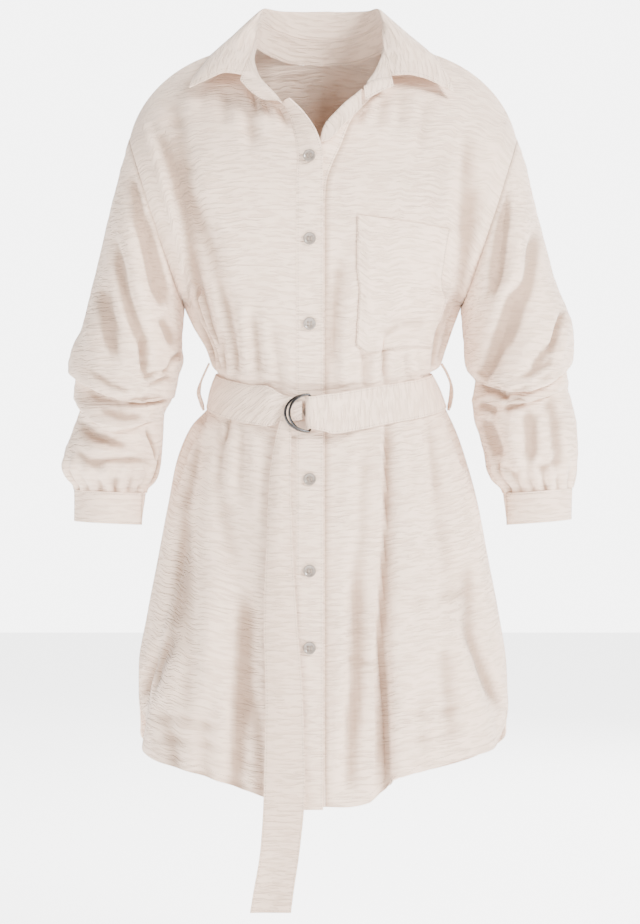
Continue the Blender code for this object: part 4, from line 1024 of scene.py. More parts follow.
def sleeve_grid(word, side):
    """Rings from the armhole down to the cuff, with bags, creases and gathers."""
    table, cuff = (RIGHT_SLEEVE, RIGHT_CUFF) if side < 0 else (LEFT_SLEEVE, LEFT_CUFF)
    degrees = np.arange(ROUND) * 360 / ROUND
    a = np.radians(degrees)
    wave = np.cos(GATHERS * a + 0.5 * np.sin(3 * a + side)) * (1 + 0.35 * np.sin(5 * a + side))
    rows = [armhole_ring(degrees, side)]
    for number, row in enumerate(table):
        depth = GATHER_DEPTH * gathered(number, table)
        rows.append(ring(row, degrees, side) + spread(row, degrees, side, wave * depth))
    seam = np.array(cuff[0], float)
    points = ring(seam, degrees, side) + spread(seam, degrees, side, wave * GATHER_DEPTH / 2)
    points[:, 2] += CORNER_SEAM
    rows.append(points)
    rows = np.array(rows)
    ends = np.linalg.norm(np.diff(rows, axis=0), axis=-1).max(axis=1)
    places = even(0, len(rows) - 1, ends)
    grid = steady(np.arange(len(rows)), rows, places)
    centre = grid.mean(axis=(0, 1))
    front = RIGHT_SLEEVE_CREASES if side < 0 else LEFT_SLEEVE_CREASES
    back = RIGHT_SLEEVE_BACK if side < 0 else LEFT_SLEEVE_BACK
    out, push = creased(grid, front, centre=centre, wrap=True)
    push += creased(grid, back, behind=True, centre=centre, wrap=True)[1]
    height = steps(grid, 0)
    push += ripple(SLEEVE_ROUND * np.sin(a)[None, :] + 0 * height, height, *WAVES["sleeve_" + word])
    push *= ease(height, 0, 16) * ease(height[-1:] - height, 0, 10)
    # Painted shade in the hollows between the gathers, added to the creases' shade
    gather = gathered(places, rows)[:, None] * wave[None, :] * GATHER_DEPTH
    return grid + out * push[..., None], push + gather


def cuff_grid(word, side):
    """A cuff from its under layer round to the end that laps over it and stands off a little."""
    cuff = RIGHT_CUFF if side < 0 else LEFT_CUFF
    degrees = np.linspace(CUFF_START, CUFF_START + 360 + CUFF_LAP, CUFF_GRID[1])
    lift = CUFF_LIFT * ease(degrees - CUFF_START, *LIFT_DEGREES)
    shares = np.linspace(0, 1, CUFF_GRID[0])
    rows = []
    for share in shares:
        row = np.array(cuff[0], float) * (1 - share) + np.array(cuff[1], float) * share
        rows.append(ring(row, degrees, side) + spread(row, degrees, side, lift))
    grid = np.array(rows)
    stand_off = FLARE[0] + (FLARE[1] - FLARE[0]) * shares
    flare = ease(degrees, degrees[-FLARED], degrees[-1])[None, :] * stand_off[:, None]
    grid = grid + flare[..., None] * unit(grid - grid.mean(axis=1, keepdims=True))
    wave = ripple(steps(grid, 1), steps(grid, 0), *WAVES["cuff_" + word])
    return grid + unit(grid - grid.mean(axis=1, keepdims=True)) * wave[..., None]


# Collar

def neck_at(place):
    """The neck seam at a place between the collar's stations."""
    if place < 6:
        return body("right", [0], [19 + place], -1, trim=False)[0, 0]
    if place < 9:
        return mirrored(body("back", [0], [28 - place], 1, trim=False)[0, 0])
    if place < 12:
        return body("back", [0], [10 + place], 1, trim=False)[0, 0]
    return body("left", [0], [37 - place], 1, trim=False)[0, 0]


def collar_lines(first, last, columns):
    """The collar's lines at fine places between two stations."""
    places = np.linspace(first, last, 8 * (last - first) + 1)
    rows = np.array([row[columns[0]:columns[1]] for row in COLLAR[first:last + 1]], float)
    return places, rounded(rows, places - first)


def stand_grid():
    """The collar's stand, from the neck seam or its own free edge up to the leaf."""
    last = len(COLLAR) - 1
    places, lines = collar_lines(0, last, (1, 3))
    neck = np.zeros((len(places), 3))
    sewn = (places >= 2) & (places <= SEWN_END)
    neck[sewn] = [neck_at(p) for p in places[sewn]]
    lift = unit(lines[:, 0] - neck) * CORNER_SEAM
    neck[sewn] += lift[sewn]
    start = [COLLAR[0][0], COLLAR[1][0], neck[np.argmax(sewn)]]
    neck[places < 2] = steady([0, 1, 2], start, places[places < 2])
    end = [neck[sewn][-1]] + [row[0] for row in COLLAR[SEWN_END + 1:]]
    after = places > SEWN_END
    neck[after] = steady(np.arange(SEWN_END, last + 1), end, places[after])
    path = np.concatenate([neck[:, None], lines], axis=1)
    grid = np.array([rounded(row, np.linspace(0, 2, 13)) for row in path])
    wave = ripple(steps(grid, 0), steps(grid, 1), *WAVES["collar_stand"])
    return grid + facing(grid) * wave[..., None]


def leaf_grid():
    """The collar's leaf, from the stand over its fall to the outer edge."""
    places, lines = collar_lines(1, SEWN_END, (2, 6))
    lines[:, 0] += unit(lines[:, 1] - lines[:, 0]) * CORNER_SEAM
    grid = np.array([rounded(row, np.linspace(0, 3, 25)) for row in lines])
    wave = ripple(steps(grid, 1), steps(grid, 0), *WAVES["collar"])
    wave *= ease(steps(grid, 1), 4, 14)
    return grid + facing(grid) * wave[..., None]


# Belt

def upright(table):
    """Top, middle and lower points of the belt's sections near the rings."""
    return [[(x, y, top), (x, y, (top + low) / 2), (x, y, low)] for x, y, top, low in table]


def belt_grid():
    """The belt from its folded end round the back to under the rings, slightly rolled."""
    sections = upright(BELT_FOLD)
    front = np.linspace(BELT_START, 1, 14)
    behind = np.linspace(0, 1, 14)[:-1]
    sections.extend(lifted("left", front, 1))
    sections.extend(lifted("back", behind, 1)[::-1])
    sections.extend(lifted("back", behind[1:], -1))
    sections.extend(lifted("right", front, -1)[::-1])
    sections.extend(upright(BELT_END))
    sections = np.array(sections, float)
    lengths = np.linalg.norm(np.diff(sections[:, 1], axis=0), axis=1)
    lines = rounded(sections, even(0, len(sections) - 1, lengths))
    t = np.linspace(0, 2, 15)
    grid = np.array([rounded(row, t) for row in lines])
    number = np.arange(len(grid))
    open_run = ease(number, *BELT_OPEN)
    open_run *= 1 - ease(number, len(grid) - BELT_SHUT, len(grid) - 1)
    roll = BELT_ROLL * (1 - (t - 1) ** 2)
    out, push = creased(grid, BELT_CREASES)
    push = np.maximum(push, -0.5) * np.clip(1 - np.abs(t - 1) ** 3, 0, 1)[None, :]
    push += open_run[:, None] * roll[None, :]
    push += ripple(steps(grid, 1), steps(grid, 0), *WAVES["belt_waist"])
    return grid + out * push[..., None]


def lifted(piece, columns, side):
    """Sections of the belt, out from the body's own points."""
    grid = body(piece, columns, BELT_SECTIONS, side, trim=False)
    return np.swapaxes(grid + cloth_normals(grid, INSIDE) * BELT_GAP, 0, 1)


def tail_grid():
    """The belt's hanging end, bulged across and wavy below the rings."""
    rows = []
    for z, left, right, y, bulge in TAIL:
        quarter = (right - left) / 4
        middle = (left + right) / 2
        rows.append([(left, y, z), (middle - quarter, y - bulge * 0.8, z), (middle, y - bulge, z),
                     (middle + quarter, y - bulge * 0.5, z), (right, y, z)])
    rows = np.array(rows, float)
    lengths = np.linalg.norm(np.diff(rows[:, 2], axis=0), axis=1)
    lines = steady(np.arange(len(rows)), rows, even(0, len(rows) - 1, lengths))
    grid = np.array([rounded(row, np.linspace(0, 4, 17)) for row in lines])
    wave = ripple(steps(grid, 1), steps(grid, 0), *WAVES["belt_tail"]) * ease(steps(grid, 0), 30, 60)
    return grid + cloth_normals(grid, BEHIND_TAIL) * wave[..., None]


def loop_grid(points):
    """A belt loop along its path beside the waist, turned about its length to show its width."""
    path = rounded(points, np.linspace(0, len(points) - 1, 41))
    along = unit(np.gradient(path, axis=0))
    share = np.linspace(0, 1, len(path))
    further = ease(share, 0.35, 0.6) * (1 - ease(share, 0.85, 1.0))
    turn = np.radians(LOOP_TURN[0] + LOOP_TURN[1] * further)
    rows = []
    for (x, z), (dx, dz), angle in zip(path, along, turn):
        across = np.linspace(-LOOP_WIDTH / 2, LOOP_WIDTH / 2, 5)
        tilt = across * np.sin(angle)
        rows.append(np.stack([x + dz * tilt, across * np.cos(angle), z - dx * tilt], axis=-1))
    return np.array(rows)


# Meshes

def linked(name, data):
    """A new object in the scene."""
    thing = bpy.data.objects.new(name, data)
    bpy.context.scene.collection.objects.link(thing)
    return thing


def mesh_from(name, grids, uvs, outward, wrap=False, weld=False):
    """One mesh from grids of points, with a pattern coordinate at every corner."""
    mesh = bmesh.new()
    layer = mesh.loops.layers.uv.new("pattern")
    # A layer of painted shade for every corner, from 0 to 1, that the material darkens the cloth by
    deep = mesh.loops.layers.float.new("hollow_shade")
    for grid, uv in zip(grids, uvs):
        rows = [[mesh.verts.new(p * MM) for p in row] for row in grid]
        count = len(rows[0])
        for i in range(len(rows) - 1):
            for j in range(count if wrap else count - 1):
                k = (j + 1) % count
                face = mesh.faces.new((rows[i][j], rows[i][k], rows[i + 1][k], rows[i + 1][j]))
                corners = ((i, j), (i, j + 1), (i + 1, j + 1), (i + 1, j))
                for loop, (row, column) in zip(face.loops, corners):
                    loop[layer].uv = uv[row, column, :2] * MM
                    loop[deep] = uv[row, column, 2] if uv.shape[2] > 2 else 0.0
    if weld:
        bmesh.ops.remove_doubles(mesh, verts=mesh.verts, dist=0.01 * MM)
    bmesh.ops.recalc_face_normals(mesh, faces=mesh.faces)
    centre = Vector(outward) * MM
    away = sum(f.normal.dot(f.calc_center_median() - centre) * f.calc_area() for f in mesh.faces)
    if away < 0:
        bmesh.ops.reverse_faces(mesh, faces=mesh.faces)
    data = bpy.data.meshes.new(name)
    mesh.to_mesh(data)
    mesh.free()
    return linked(name, data)


def pattern(grid, wrap=False, zero=0, swap=False):
    """Flat coordinates of a sheet: how far along its row and up its column each point is.

    On a ring of cloth the second is the height, so that the crinkles run level round it."""
    if wrap:
        grid = np.concatenate([grid, grid[:, :1]], axis=1)
        return np.stack([steps(grid, 1), grid[..., 2]], axis=-1)
    along, up = steps(grid, 1), steps(grid, 0)
    up = up - up[zero]
    return np.stack([up, along] if swap else [along, up], axis=-1)


def hollows(flat, push, gain=1.0):
    """Add to a pattern the painted shade at each point, from 0 to 1, by how deep in a crease it
    lies.
    """
    if push.shape[1] < flat.shape[1]:
        push = np.concatenate([push, push[:, :1]], axis=1)
    return np.concatenate([flat, ease(-push * gain, *CREASE_DEPTHS)[..., None]], axis=-1)


def by_edge(grid, axis, depth, reach, last=False):
    """Shade beside one edge of a grid, as a crease so deep, gone at a reach from the edge."""
    away = steps(grid, axis)
    if last:
        away = (away[-1:] if axis == 0 else away[:, -1:]) - away
    return -depth * (1 - ease(away, 0, reach))


def pick(*things):
    """Select only these objects, with the first one active."""
    bpy.ops.object.select_all(action="DESELECT")
    for thing in things:
        thing.select_set(True)
    bpy.context.view_layer.objects.active = things[0]


def thickness(band):
    """The thickness of a single wall of cloth or of a doubled band."""
    sizes = bpy.context.scene.dress_sizes
    return sizes.band_cloth if band else sizes.cloth


def wall(name, node, grids, uvs, outward=INSIDE, wrap=False, band=False):
    """A finished piece of cloth, smooth but for its cut edges, for one node of the frame."""
    thing = mesh_from(name, grids, uvs, outward, wrap, weld=len(grids) > 1)
    pick(thing)
    solid = thing.modifiers.new("Wall", "SOLIDIFY")
    solid.thickness = thickness(band)
    solid.offset = 0
    bpy.ops.object.modifier_apply(modifier=solid.name)
    thing.data.shade_smooth()
    thing.data.set_sharp_from_angle(angle=np.radians(CRISP))
    thing.data.materials.append(cloth_material())
    finish_piece(thing)
    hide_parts(node)
    return thing


def cloth(name, node, grids, uvs, flat, held, rests_on, outward=INSIDE, wrap=False, band=False,
          area=None, with_pieces=()):
    """A wall of cloth."""
    thing = wall(name, node, grids, uvs, outward, wrap, band)


def finish_piece(thing):
    """Say what a piece moves with."""
    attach(thing, "root")


# Materials

def new_material(name):
    """A material by its name, and its shader if it has just been made."""
    if name in bpy.data.materials:
        return bpy.data.materials[name], None
    finish = bpy.data.materials.new(name)
    finish.use_nodes = True
    return finish, finish.node_tree.nodes["Principled BSDF"]


def set_inputs(node, values):
    """Set a node's inputs by their names or numbers."""
    for key, value in values.items():
        node.inputs[key].default_value = value


def add(tree, kind, inputs=None, **settings):
    """A node with some of its settings and inputs."""
    node = tree.nodes.new(kind)
    for key, value in settings.items():
        setattr(node, key, value)
    set_inputs(node, inputs or {})
    return node


def join(tree, *links):
    """Link the outputs of some nodes to the inputs of others."""
    for source, output, target, into in links:
        tree.links.new(source.outputs[output], target.inputs[into])


def cloth_material():
    """Fine crinkles along the rows of the pattern, over a plain weave, with painted shade in the
    crinkles' hollows, in the creases and beside seams and edges.
    """
    finish, shader = new_material("crinkle_cloth")
    if shader is None:
        return finish
    colours = bpy.context.scene.dress_colours
    sizes = bpy.context.scene.dress_sizes
    tree = finish.node_tree
    place = add(tree, "ShaderNodeUVMap", uv_map="pattern")
    crinkle_scale = (1 / sizes.crinkle_length, 1 / sizes.crinkle_spacing, 1)
    long_way = add(tree, "ShaderNodeMapping", {"Scale": crinkle_scale})
    crinkle = add(tree, "ShaderNodeTexNoise",
                  {"Scale": 1.0, "Detail": 3.0, "Roughness": 0.55, "Distortion": 0.35})
    sharp = add(tree, "ShaderNodeMapRange",
                {"From Min": CRINKLE_RISE[0], "From Max": CRINKLE_RISE[1]},
                interpolation_type="SMOOTHERSTEP")
    patches = add(tree, "ShaderNodeTexNoise", {"Scale": 14.0, "Detail": 1.0})
    strength = add(tree, "ShaderNodeMapRange",
                   {"From Min": PATCH_RANGE[0], "From Max": PATCH_RANGE[1], "To Min": PATCH_LEAST})
    height = add(tree, "ShaderNodeMath", operation="MULTIPLY")
    weave_way = add(tree, "ShaderNodeMapping", {"Scale": (1 / WEAVE[0], 1 / WEAVE[1], 1)})
    weave = add(tree, "ShaderNodeTexNoise", {"Scale": 1.0, "Detail": 1.0})
    fine = add(tree, "ShaderNodeBump", {"Strength": 0.25, "Distance": WEAVE_HEIGHT})
    bump = add(tree, "ShaderNodeBump", {"Strength": 1.0, "Distance": sizes.crinkle_height})
    # Painted shade: the crinkles' low parts take the darker hollow colour
    tint = add(tree, "ShaderNodeMix", data_type="RGBA")
    set_inputs(tint, {6: (*colours.hollow_shade, 1), 7: (*colours.cloth, 1)})
    # Painted shade from the mesh's layer, darkening creases and edges towards the crease colour
    depth = add(tree, "ShaderNodeAttribute", attribute_name="hollow_shade")
    share = add(tree, "ShaderNodeMath", {1: CREASE_SHADE_SHARE}, operation="MULTIPLY")
    shade = add(tree, "ShaderNodeMix", data_type="RGBA")
    set_inputs(shade, {7: (*colours.crease_shade, 1)})
    join(
        tree,
        (place, "UV", long_way, "Vector"),
        (long_way, "Vector", crinkle, "Vector"),
        (crinkle, "Fac", sharp, "Value"),
        (place, "UV", patches, "Vector"),
        (patches, "Fac", strength, "Value"),
        (sharp, "Result", height, 0),
        (strength, "Result", height, 1),
        (place, "UV", weave_way, "Vector"),
        (weave_way, "Vector", weave, "Vector"),
        (weave, "Fac", fine, "Height"),
        (height, "Value", bump, "Height"),
        (fine, "Normal", bump, "Normal"),
        (bump, "Normal", shader, "Normal"),
        (sharp, "Result", tint, 0),
        (depth, "Fac", share, 0),
        (share, "Value", shade, 0),
        (tint, 2, shade, 6),
        (shade, 2, shader, "Base Color"),
    )
    set_inputs(shader, {"Roughness": 0.82, "Sheen Weight": 0.25, "Sheen Roughness": 0.5,
                        "Specular IOR Level": 0.25})
    return finish


def plain_material(name, colour, roughness, metallic=0.0):
    """A finish of one colour."""
    finish, shader = new_material(name)
    if shader is not None:
        set_inputs(shader, {"Base Color": (*colour, 1), "Roughness": roughness,
                            "Metallic": metallic})
    return finish


def thread_material():
    """Matt sewing thread, darker than the cloth so that its stitches also draw painted shade along
    seams and edges.
    """
    return plain_material("thread", bpy.context.scene.dress_colours.thread, 0.7)


def shell_material():
    """Pearly button plastic with faint clouds."""
    finish, shader = new_material("button_shell")
    if shader is None:
        return finish
    colour = bpy.context.scene.dress_colours.shell
    tree = finish.node_tree
    place = add(tree, "ShaderNodeTexCoord")
    cloud = add(tree, "ShaderNodeTexNoise", {"Scale": 160.0, "Detail": 2.0, "Distortion": 1.5})
    tint = add(tree, "ShaderNodeMix", data_type="RGBA")
    set_inputs(tint, {6: (*[v * 0.6 for v in colour], 1),
                      7: (*[min(v * 1.25, 0.9) for v in colour], 1)})
    join(tree, (place, "Object", cloud, "Vector"), (cloud, "Fac", tint, 0),
         (tint, 2, shader, "Base Color"))
    set_inputs(shader, {"Roughness": 0.14, "Coat Weight": 0.5})
    return finish


def studio_world():
    """Soft light from all round, in front of a brighter pale wall."""
    world = bpy.data.worlds.new("studio")
    world.use_nodes = True
    tree = world.node_tree
    soft = tree.nodes["Background"]
    set_inputs(soft, {"Color": (1, 0.985, 0.97, 1), "Strength": WORLD_LIGHT})
    bright = add(tree, "ShaderNodeBackground", {"Color": (1, 1, 1, 1), "Strength": WALL_LIGHT})
    seen = add(tree, "ShaderNodeLightPath")
    mix = add(tree, "ShaderNodeMixShader")
    join(tree, (seen, "Is Camera Ray", mix, "Fac"), (soft, "Background", mix, 1),
         (bright, "Background", mix, 2), (mix, "Shader", tree.nodes["World Output"], "Surface"))
    return world


# Stitches

def read_along(values, length, at):
    """Values given at some distances, read at others."""
    return np.stack([np.interp(at, length, values[:, k]) for k in range(3)], axis=-1)


def edge_line(grid, axis, inset, last, left_out):
    """A line inside the first or last row or column of a grid, shorter by so much at both ends."""
    if axis == 1:
        grid = np.swapaxes(grid, 0, 1)
    if last:
        grid = grid[::-1]
    reach = steps(grid, 0)
    columns = range(grid.shape[1])
    line = np.array([read_along(grid[:, k], reach[:, k], inset) for k in columns])
    if left_out:
        length = steps(line, 0)
        count = max(int(length[-1] / 4), 2)
        line = read_along(line, length, np.linspace(left_out, length[-1] - left_out, count))
    return line


def sew(name, seam, grids, centre=INSIDE, both=False, band=False):
    """Sewn thread beside the edges that a seam names: one slim spindle for each stitch."""
    sizes = bpy.context.scene.dress_sizes
    pitch = (sizes.stitch + sizes.stitch_gap) / MM
    half = sizes.thread / 2 / MM
    lift = thickness(band) / 2 / MM
    vertices, faces = [], []
    for points, outs in [outward_line(edge_line(grid, *edge), grid, centre)
                         for grid in grids for edge in STITCHES[seam]]:
        length = steps(points, 0)
        for start in np.arange(0, length[-1] - pitch, pitch):
            at = start + pitch * np.array([0, STITCHED / 2, STITCHED])
            p = read_along(points, length, at)
            n = unit(read_along(outs, length, at))
            across = np.cross(unit(p[2] - p[0]), n[1])
            for sign in ((1, -1) if both else (1,)):
                low = p + n * (lift - SUNK) * sign
                top = p[1] + n[1] * (lift + half) * sign
                foot = top - n[1] * half * sign
                base = len(vertices)
                vertices += [low[0], low[2], top, foot + across * half, foot - across * half]
                faces += [(base, base + 3, base + 2), (base, base + 2, base + 4),
                          (base + 1, base + 2, base + 3), (base + 1, base + 4, base + 2),
                          (base, base + 4, base + 3), (base + 1, base + 3, base + 4)]
    data = bpy.data.meshes.new(name)
    data.from_pydata([tuple(v * MM) for v in np.array(vertices)], [], faces)
    mesh = bmesh.new()
    mesh.from_mesh(data)
    bmesh.ops.recalc_face_normals(mesh, faces=mesh.faces)
    mesh.to_mesh(data)
    mesh.free()
    data.materials.append(thread_material())
    finish_piece(linked(name, data))


def outward_line(points, grid, centre):
    """Points with the direction out of the nearest part of a grid."""
    normal = cloth_normals(grid, centre).reshape(-1, 3)
    flat = grid.reshape(-1, 3)
    near = [np.argmin(((flat - p) ** 2).sum(axis=1)) for p in points]
    return points, normal[near]


# Settings

def length_setting(name, description, default):
    """A length in metres for the panel."""
    return bpy.props.FloatProperty(name=name, description=description, default=default,
                                   unit="LENGTH")


def colour_setting(name, description, default):
    """A colour for the panel."""
    return bpy.props.FloatVectorProperty(name=name, description=description, default=default,
                                         subtype="COLOR")


class DressSizes(bpy.types.PropertyGroup):
    """Lengths that shape the cloth, its stitches and the buttons"""
    cloth: length_setting("Cloth", "Thickness of a single wall of cloth", 0.0012)
    band_cloth: length_setting("Band", "Thickness of the doubled button bands", 0.0018)
    crinkle_spacing: length_setting("Crinkle spacing", "Distance between fine crinkles", 0.0036)
    crinkle_length: length_setting("Crinkle length", "How long a fine crinkle runs", 0.022)
    crinkle_height: length_setting("Crinkle height", "How far a fine crinkle stands up", 0.0011)
    stitch: length_setting("Stitch", "Length of one stitch", 0.0022)
    stitch_gap: length_setting("Stitch gap", "Space between two stitches", 0.0008)
    thread: length_setting("Thread", "Width of the sewing thread", 0.0009)
    button: length_setting("Button", "Diameter of a button", 0.014)


class DressColours(bpy.types.PropertyGroup):
    """Colours of the cloth and its painted shade, the thread, the buttons, the rings and the floor
    """
    cloth: colour_setting("Cloth", "Colour of the cloth", (0.78, 0.59, 0.462))
    # Painted shade in the low parts of the fine crinkles
    hollow_shade: colour_setting("Hollows", "Colour of the cloth in the crinkles' hollows",
                           (0.69, 0.505, 0.385))
    # Painted shade: the colour that deep creases and shaded edges are darkened towards
    crease_shade: colour_setting("Creases", "Colour of the cloth deep in a crease", (0.33, 0.21, 0.14))
    # Darker than the cloth, so the stitches also draw painted shade along seams and edges
    thread: colour_setting("Thread", "Colour of the sewing thread", (0.34, 0.25, 0.19))
    shell: colour_setting("Buttons", "Colour of the buttons", (0.25, 0.205, 0.17))
    metal: colour_setting("Rings", "Colour of the two rings", (0.06, 0.058, 0.058))
    floor: colour_setting("Floor", "Colour of the floor", (0.9, 0.9, 0.9))


# Pieces

class DRESS_OT_body(bpy.types.Operator):
    """Build the two fronts with their belt loops, the back, the pocket and the button bands"""
    bl_idname = "dress.body"
    bl_label = "Body"

    def execute(self, context):
        for piece, side, flat, area in (("right", -1, (0.29, 0.92), 0.165),
                                        ("left", 1, (0.32, 0.92), 0.182)):
            vs, us, grid, push = body_surface(piece, side)
            waist = int(np.argmin(np.abs(vs - WAIST)))
            # Painted shade beside the front's inner edge and along the hem
            push = push + by_edge(grid, 1, *(FRONT_SHADE if side > 0 else BAND_SHADE))
            push = push + by_edge(grid, 0, *HEM_SHADE)
            path = loop_grid(RIGHT_LOOP if side < 0 else LEFT_LOOP)
            loop = wall("loop_" + piece + "_cloth", "loop_" + piece, [path], [pattern(path)],
                        band=True)
            uv = hollows(pattern(grid, zero=waist) * (side, 1), push)
            cloth("front_" + piece + "_cloth", "front_" + piece, [grid], [uv], flat, "hung",
                  ["band_" + piece], area=area, with_pieces=[loop])
            sew("hem_stitches_" + piece, "hem", [grid], both=True)
            band = band_grid(piece)
            cloth("band_" + piece + "_cloth", "band_" + piece, [band], [pattern(band)],
                  (0.032, 0.82), "hung", ["front_" + piece], band=True)
            sew("band_stitches_" + piece, "band", [band], band=True)
        self.back()
        pocket, push = pocket_grid()
        # Painted shade beside the pocket's edges
        for axis, last in ((0, False), (1, False), (1, True)):
            push = push + by_edge(pocket, axis, *POCKET_SHADE, last=last)
        cloth("pocket_cloth", "pocket", [pocket], [hollows(pattern(pocket), push)],
              (0.112, 0.166), "laid", ["front_left"])
        sew("pocket_stitches", "pocket", [pocket])
        return {"FINISHED"}

    def back(self):
        """Two halves that share their middle column below the neck."""
        vs = fine_sections("back")
        waist = int(np.argmin(np.abs(vs - WAIST)))
        (right, right_push), (left, left_push) = [body_surface("back", side)[2:]
                                                  for side in (-1, 1)]
        below = vs <= BACK_NECK
        middle = (right[below, 0] + left[below, 0]) / 2
        middle[:, 0] = 0
        right[below, 0] = middle
        left[below, 0] = middle
        uvs = [hollows(pattern(right, zero=waist) * (-1, 1), right_push),
               hollows(pattern(left, zero=waist), left_push)]
        cloth("back_cloth", "back", [right, left], uvs, (0.65, 0.97), "hung",
              ["front_right", "front_left"], area=0.39)
        sew("hem_stitches_back", "hem", [right, left], both=True)


class DRESS_OT_collar(bpy.types.Operator):
    """Build the collar's stand and leaf"""
    bl_idname = "dress.collar"
    bl_label = "Collar"

    def execute(self, context):
        stand = stand_grid()
        cloth("collar_stand_cloth", "collar_stand", [stand], [pattern(stand, swap=True)],
              (0.53, 0.035), "stretched", ["front_right", "front_left", "back"],
              outward=INSIDE_NECK, area=0.016)
        sew("stand_stitches", "stand", [stand], INSIDE_NECK, both=True)
        leaf = leaf_grid()
        cloth("collar_cloth", "collar", [leaf], [pattern(leaf, swap=True)], (0.52, 0.09), "folded",
              ["collar_stand"], outward=INSIDE_NECK, area=0.036)
        sew("collar_stitches", "collar", [leaf], INSIDE_NECK, both=True)
        return {"FINISHED"}


class DRESS_OT_sleeves(bpy.types.Operator):
    """Build the sleeves and their cuffs"""
    bl_idname = "dress.sleeves"
    bl_label = "Sleeves"

    def execute(self, context):
        for word, side in (("right", -1), ("left", 1)):
            grid, push = sleeve_grid(word, side)
            # Painted shade below the armhole seam
            push = push + by_edge(grid, 0, *ARMHOLE_SHADE)
            uv = hollows(pattern(grid, wrap=True), push, SLEEVE_SHADE)
            cloth("sleeve_" + word + "_cloth", "sleeve_" + word, [grid], [uv], (0.56, 0.43),
                  "gathered", ["front_" + word, "cuff_" + word], outward=grid.mean(axis=(0, 1)),
                  wrap=True, area=0.139)
            cuff = cuff_grid(word, side)
            middle = cuff.reshape(-1, 3).mean(axis=0)
            # Painted shade on the cuff's under layer and at the end of its outer layer
            push = by_edge(cuff, 1, *CUFF_SHADE) + by_edge(cuff, 1, *LAP_SHADE, last=True)
            cloth("cuff_" + word + "_cloth", "cuff_" + word, [cuff],
                  [hollows(pattern(cuff), push)], (0.24, 0.036), "folded", ["sleeve_" + word],
                  outward=middle)
            sew("cuff_stitches_" + word, "cuff", [cuff], middle)
        return {"FINISHED"}


class DRESS_OT_belt(bpy.types.Operator):
    """Build the belt and its hanging end"""
    bl_idname = "dress.belt"
    bl_label = "Belt"

    def execute(self, context):
        belt = belt_grid()
        cloth("belt_waist_cloth", "belt_waist", [belt], [pattern(belt, swap=True)[..., ::-1]],
              (0.76, 0.045), "folded", ["front_left", "front_right", "back"])
        sew("belt_stitches", "belt", [belt])
        tail = tail_grid()
        # Painted shade over the whole hanging end
        shade = np.full(tail.shape[:2], -TAIL_SHADE)
        cloth("belt_tail_cloth", "belt_tail", [tail], [hollows(pattern(tail), shade)],
              (0.045, 0.568), "hung", ["ring_1", "ring_2"], outward=BEHIND_TAIL)
        sew("tail_stitches", "tail", [tail], BEHIND_TAIL, both=True)
        return {"FINISHED"}


class DRESS_OT_rings(bpy.types.Operator):
    """Give the two rings a smooth round wire"""
    bl_idname = "dress.rings"
    bl_label = "Rings"

    def execute(self, context):
        metal = plain_material("dark_metal", context.scene.dress_colours.metal, 0.22, metallic=1.0)
        for node in ("ring_1", "ring_2"):
            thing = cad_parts[node].copy()
            thing.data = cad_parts[node].data.copy()
            thing.name = node + "_wire"
            context.scene.collection.objects.link(thing)
            thing.parent = None
            thing.hide_render = False
            for corner in thing.data.vertices:
                share = (RING_BAR - corner.co.x / MM) / RING_REACH
                corner.co.x += BOW_SHIFTS[node] * MM * max(share, 0.0)
            pick(thing)
            bpy.ops.object.mode_set(mode="EDIT")
            bpy.ops.mesh.select_all(action="SELECT")
            bpy.ops.mesh.remove_doubles(threshold=0.02 * MM)
            bpy.ops.mesh.tris_convert_to_quads()
            bpy.ops.transform.shrink_fatten(value=RING_MORE * MM)
            bpy.ops.object.mode_set(mode="OBJECT")
            smooth = thing.modifiers.new("Smooth", "SUBSURF")
            smooth.levels = 2
            bpy.ops.object.modifier_apply(modifier=smooth.name)
            thing.data.materials.clear()
            thing.data.materials.append(metal)
            thing.data.shade_smooth()
            finish_piece(thing)
            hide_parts(node)
        return {"FINISHED"}


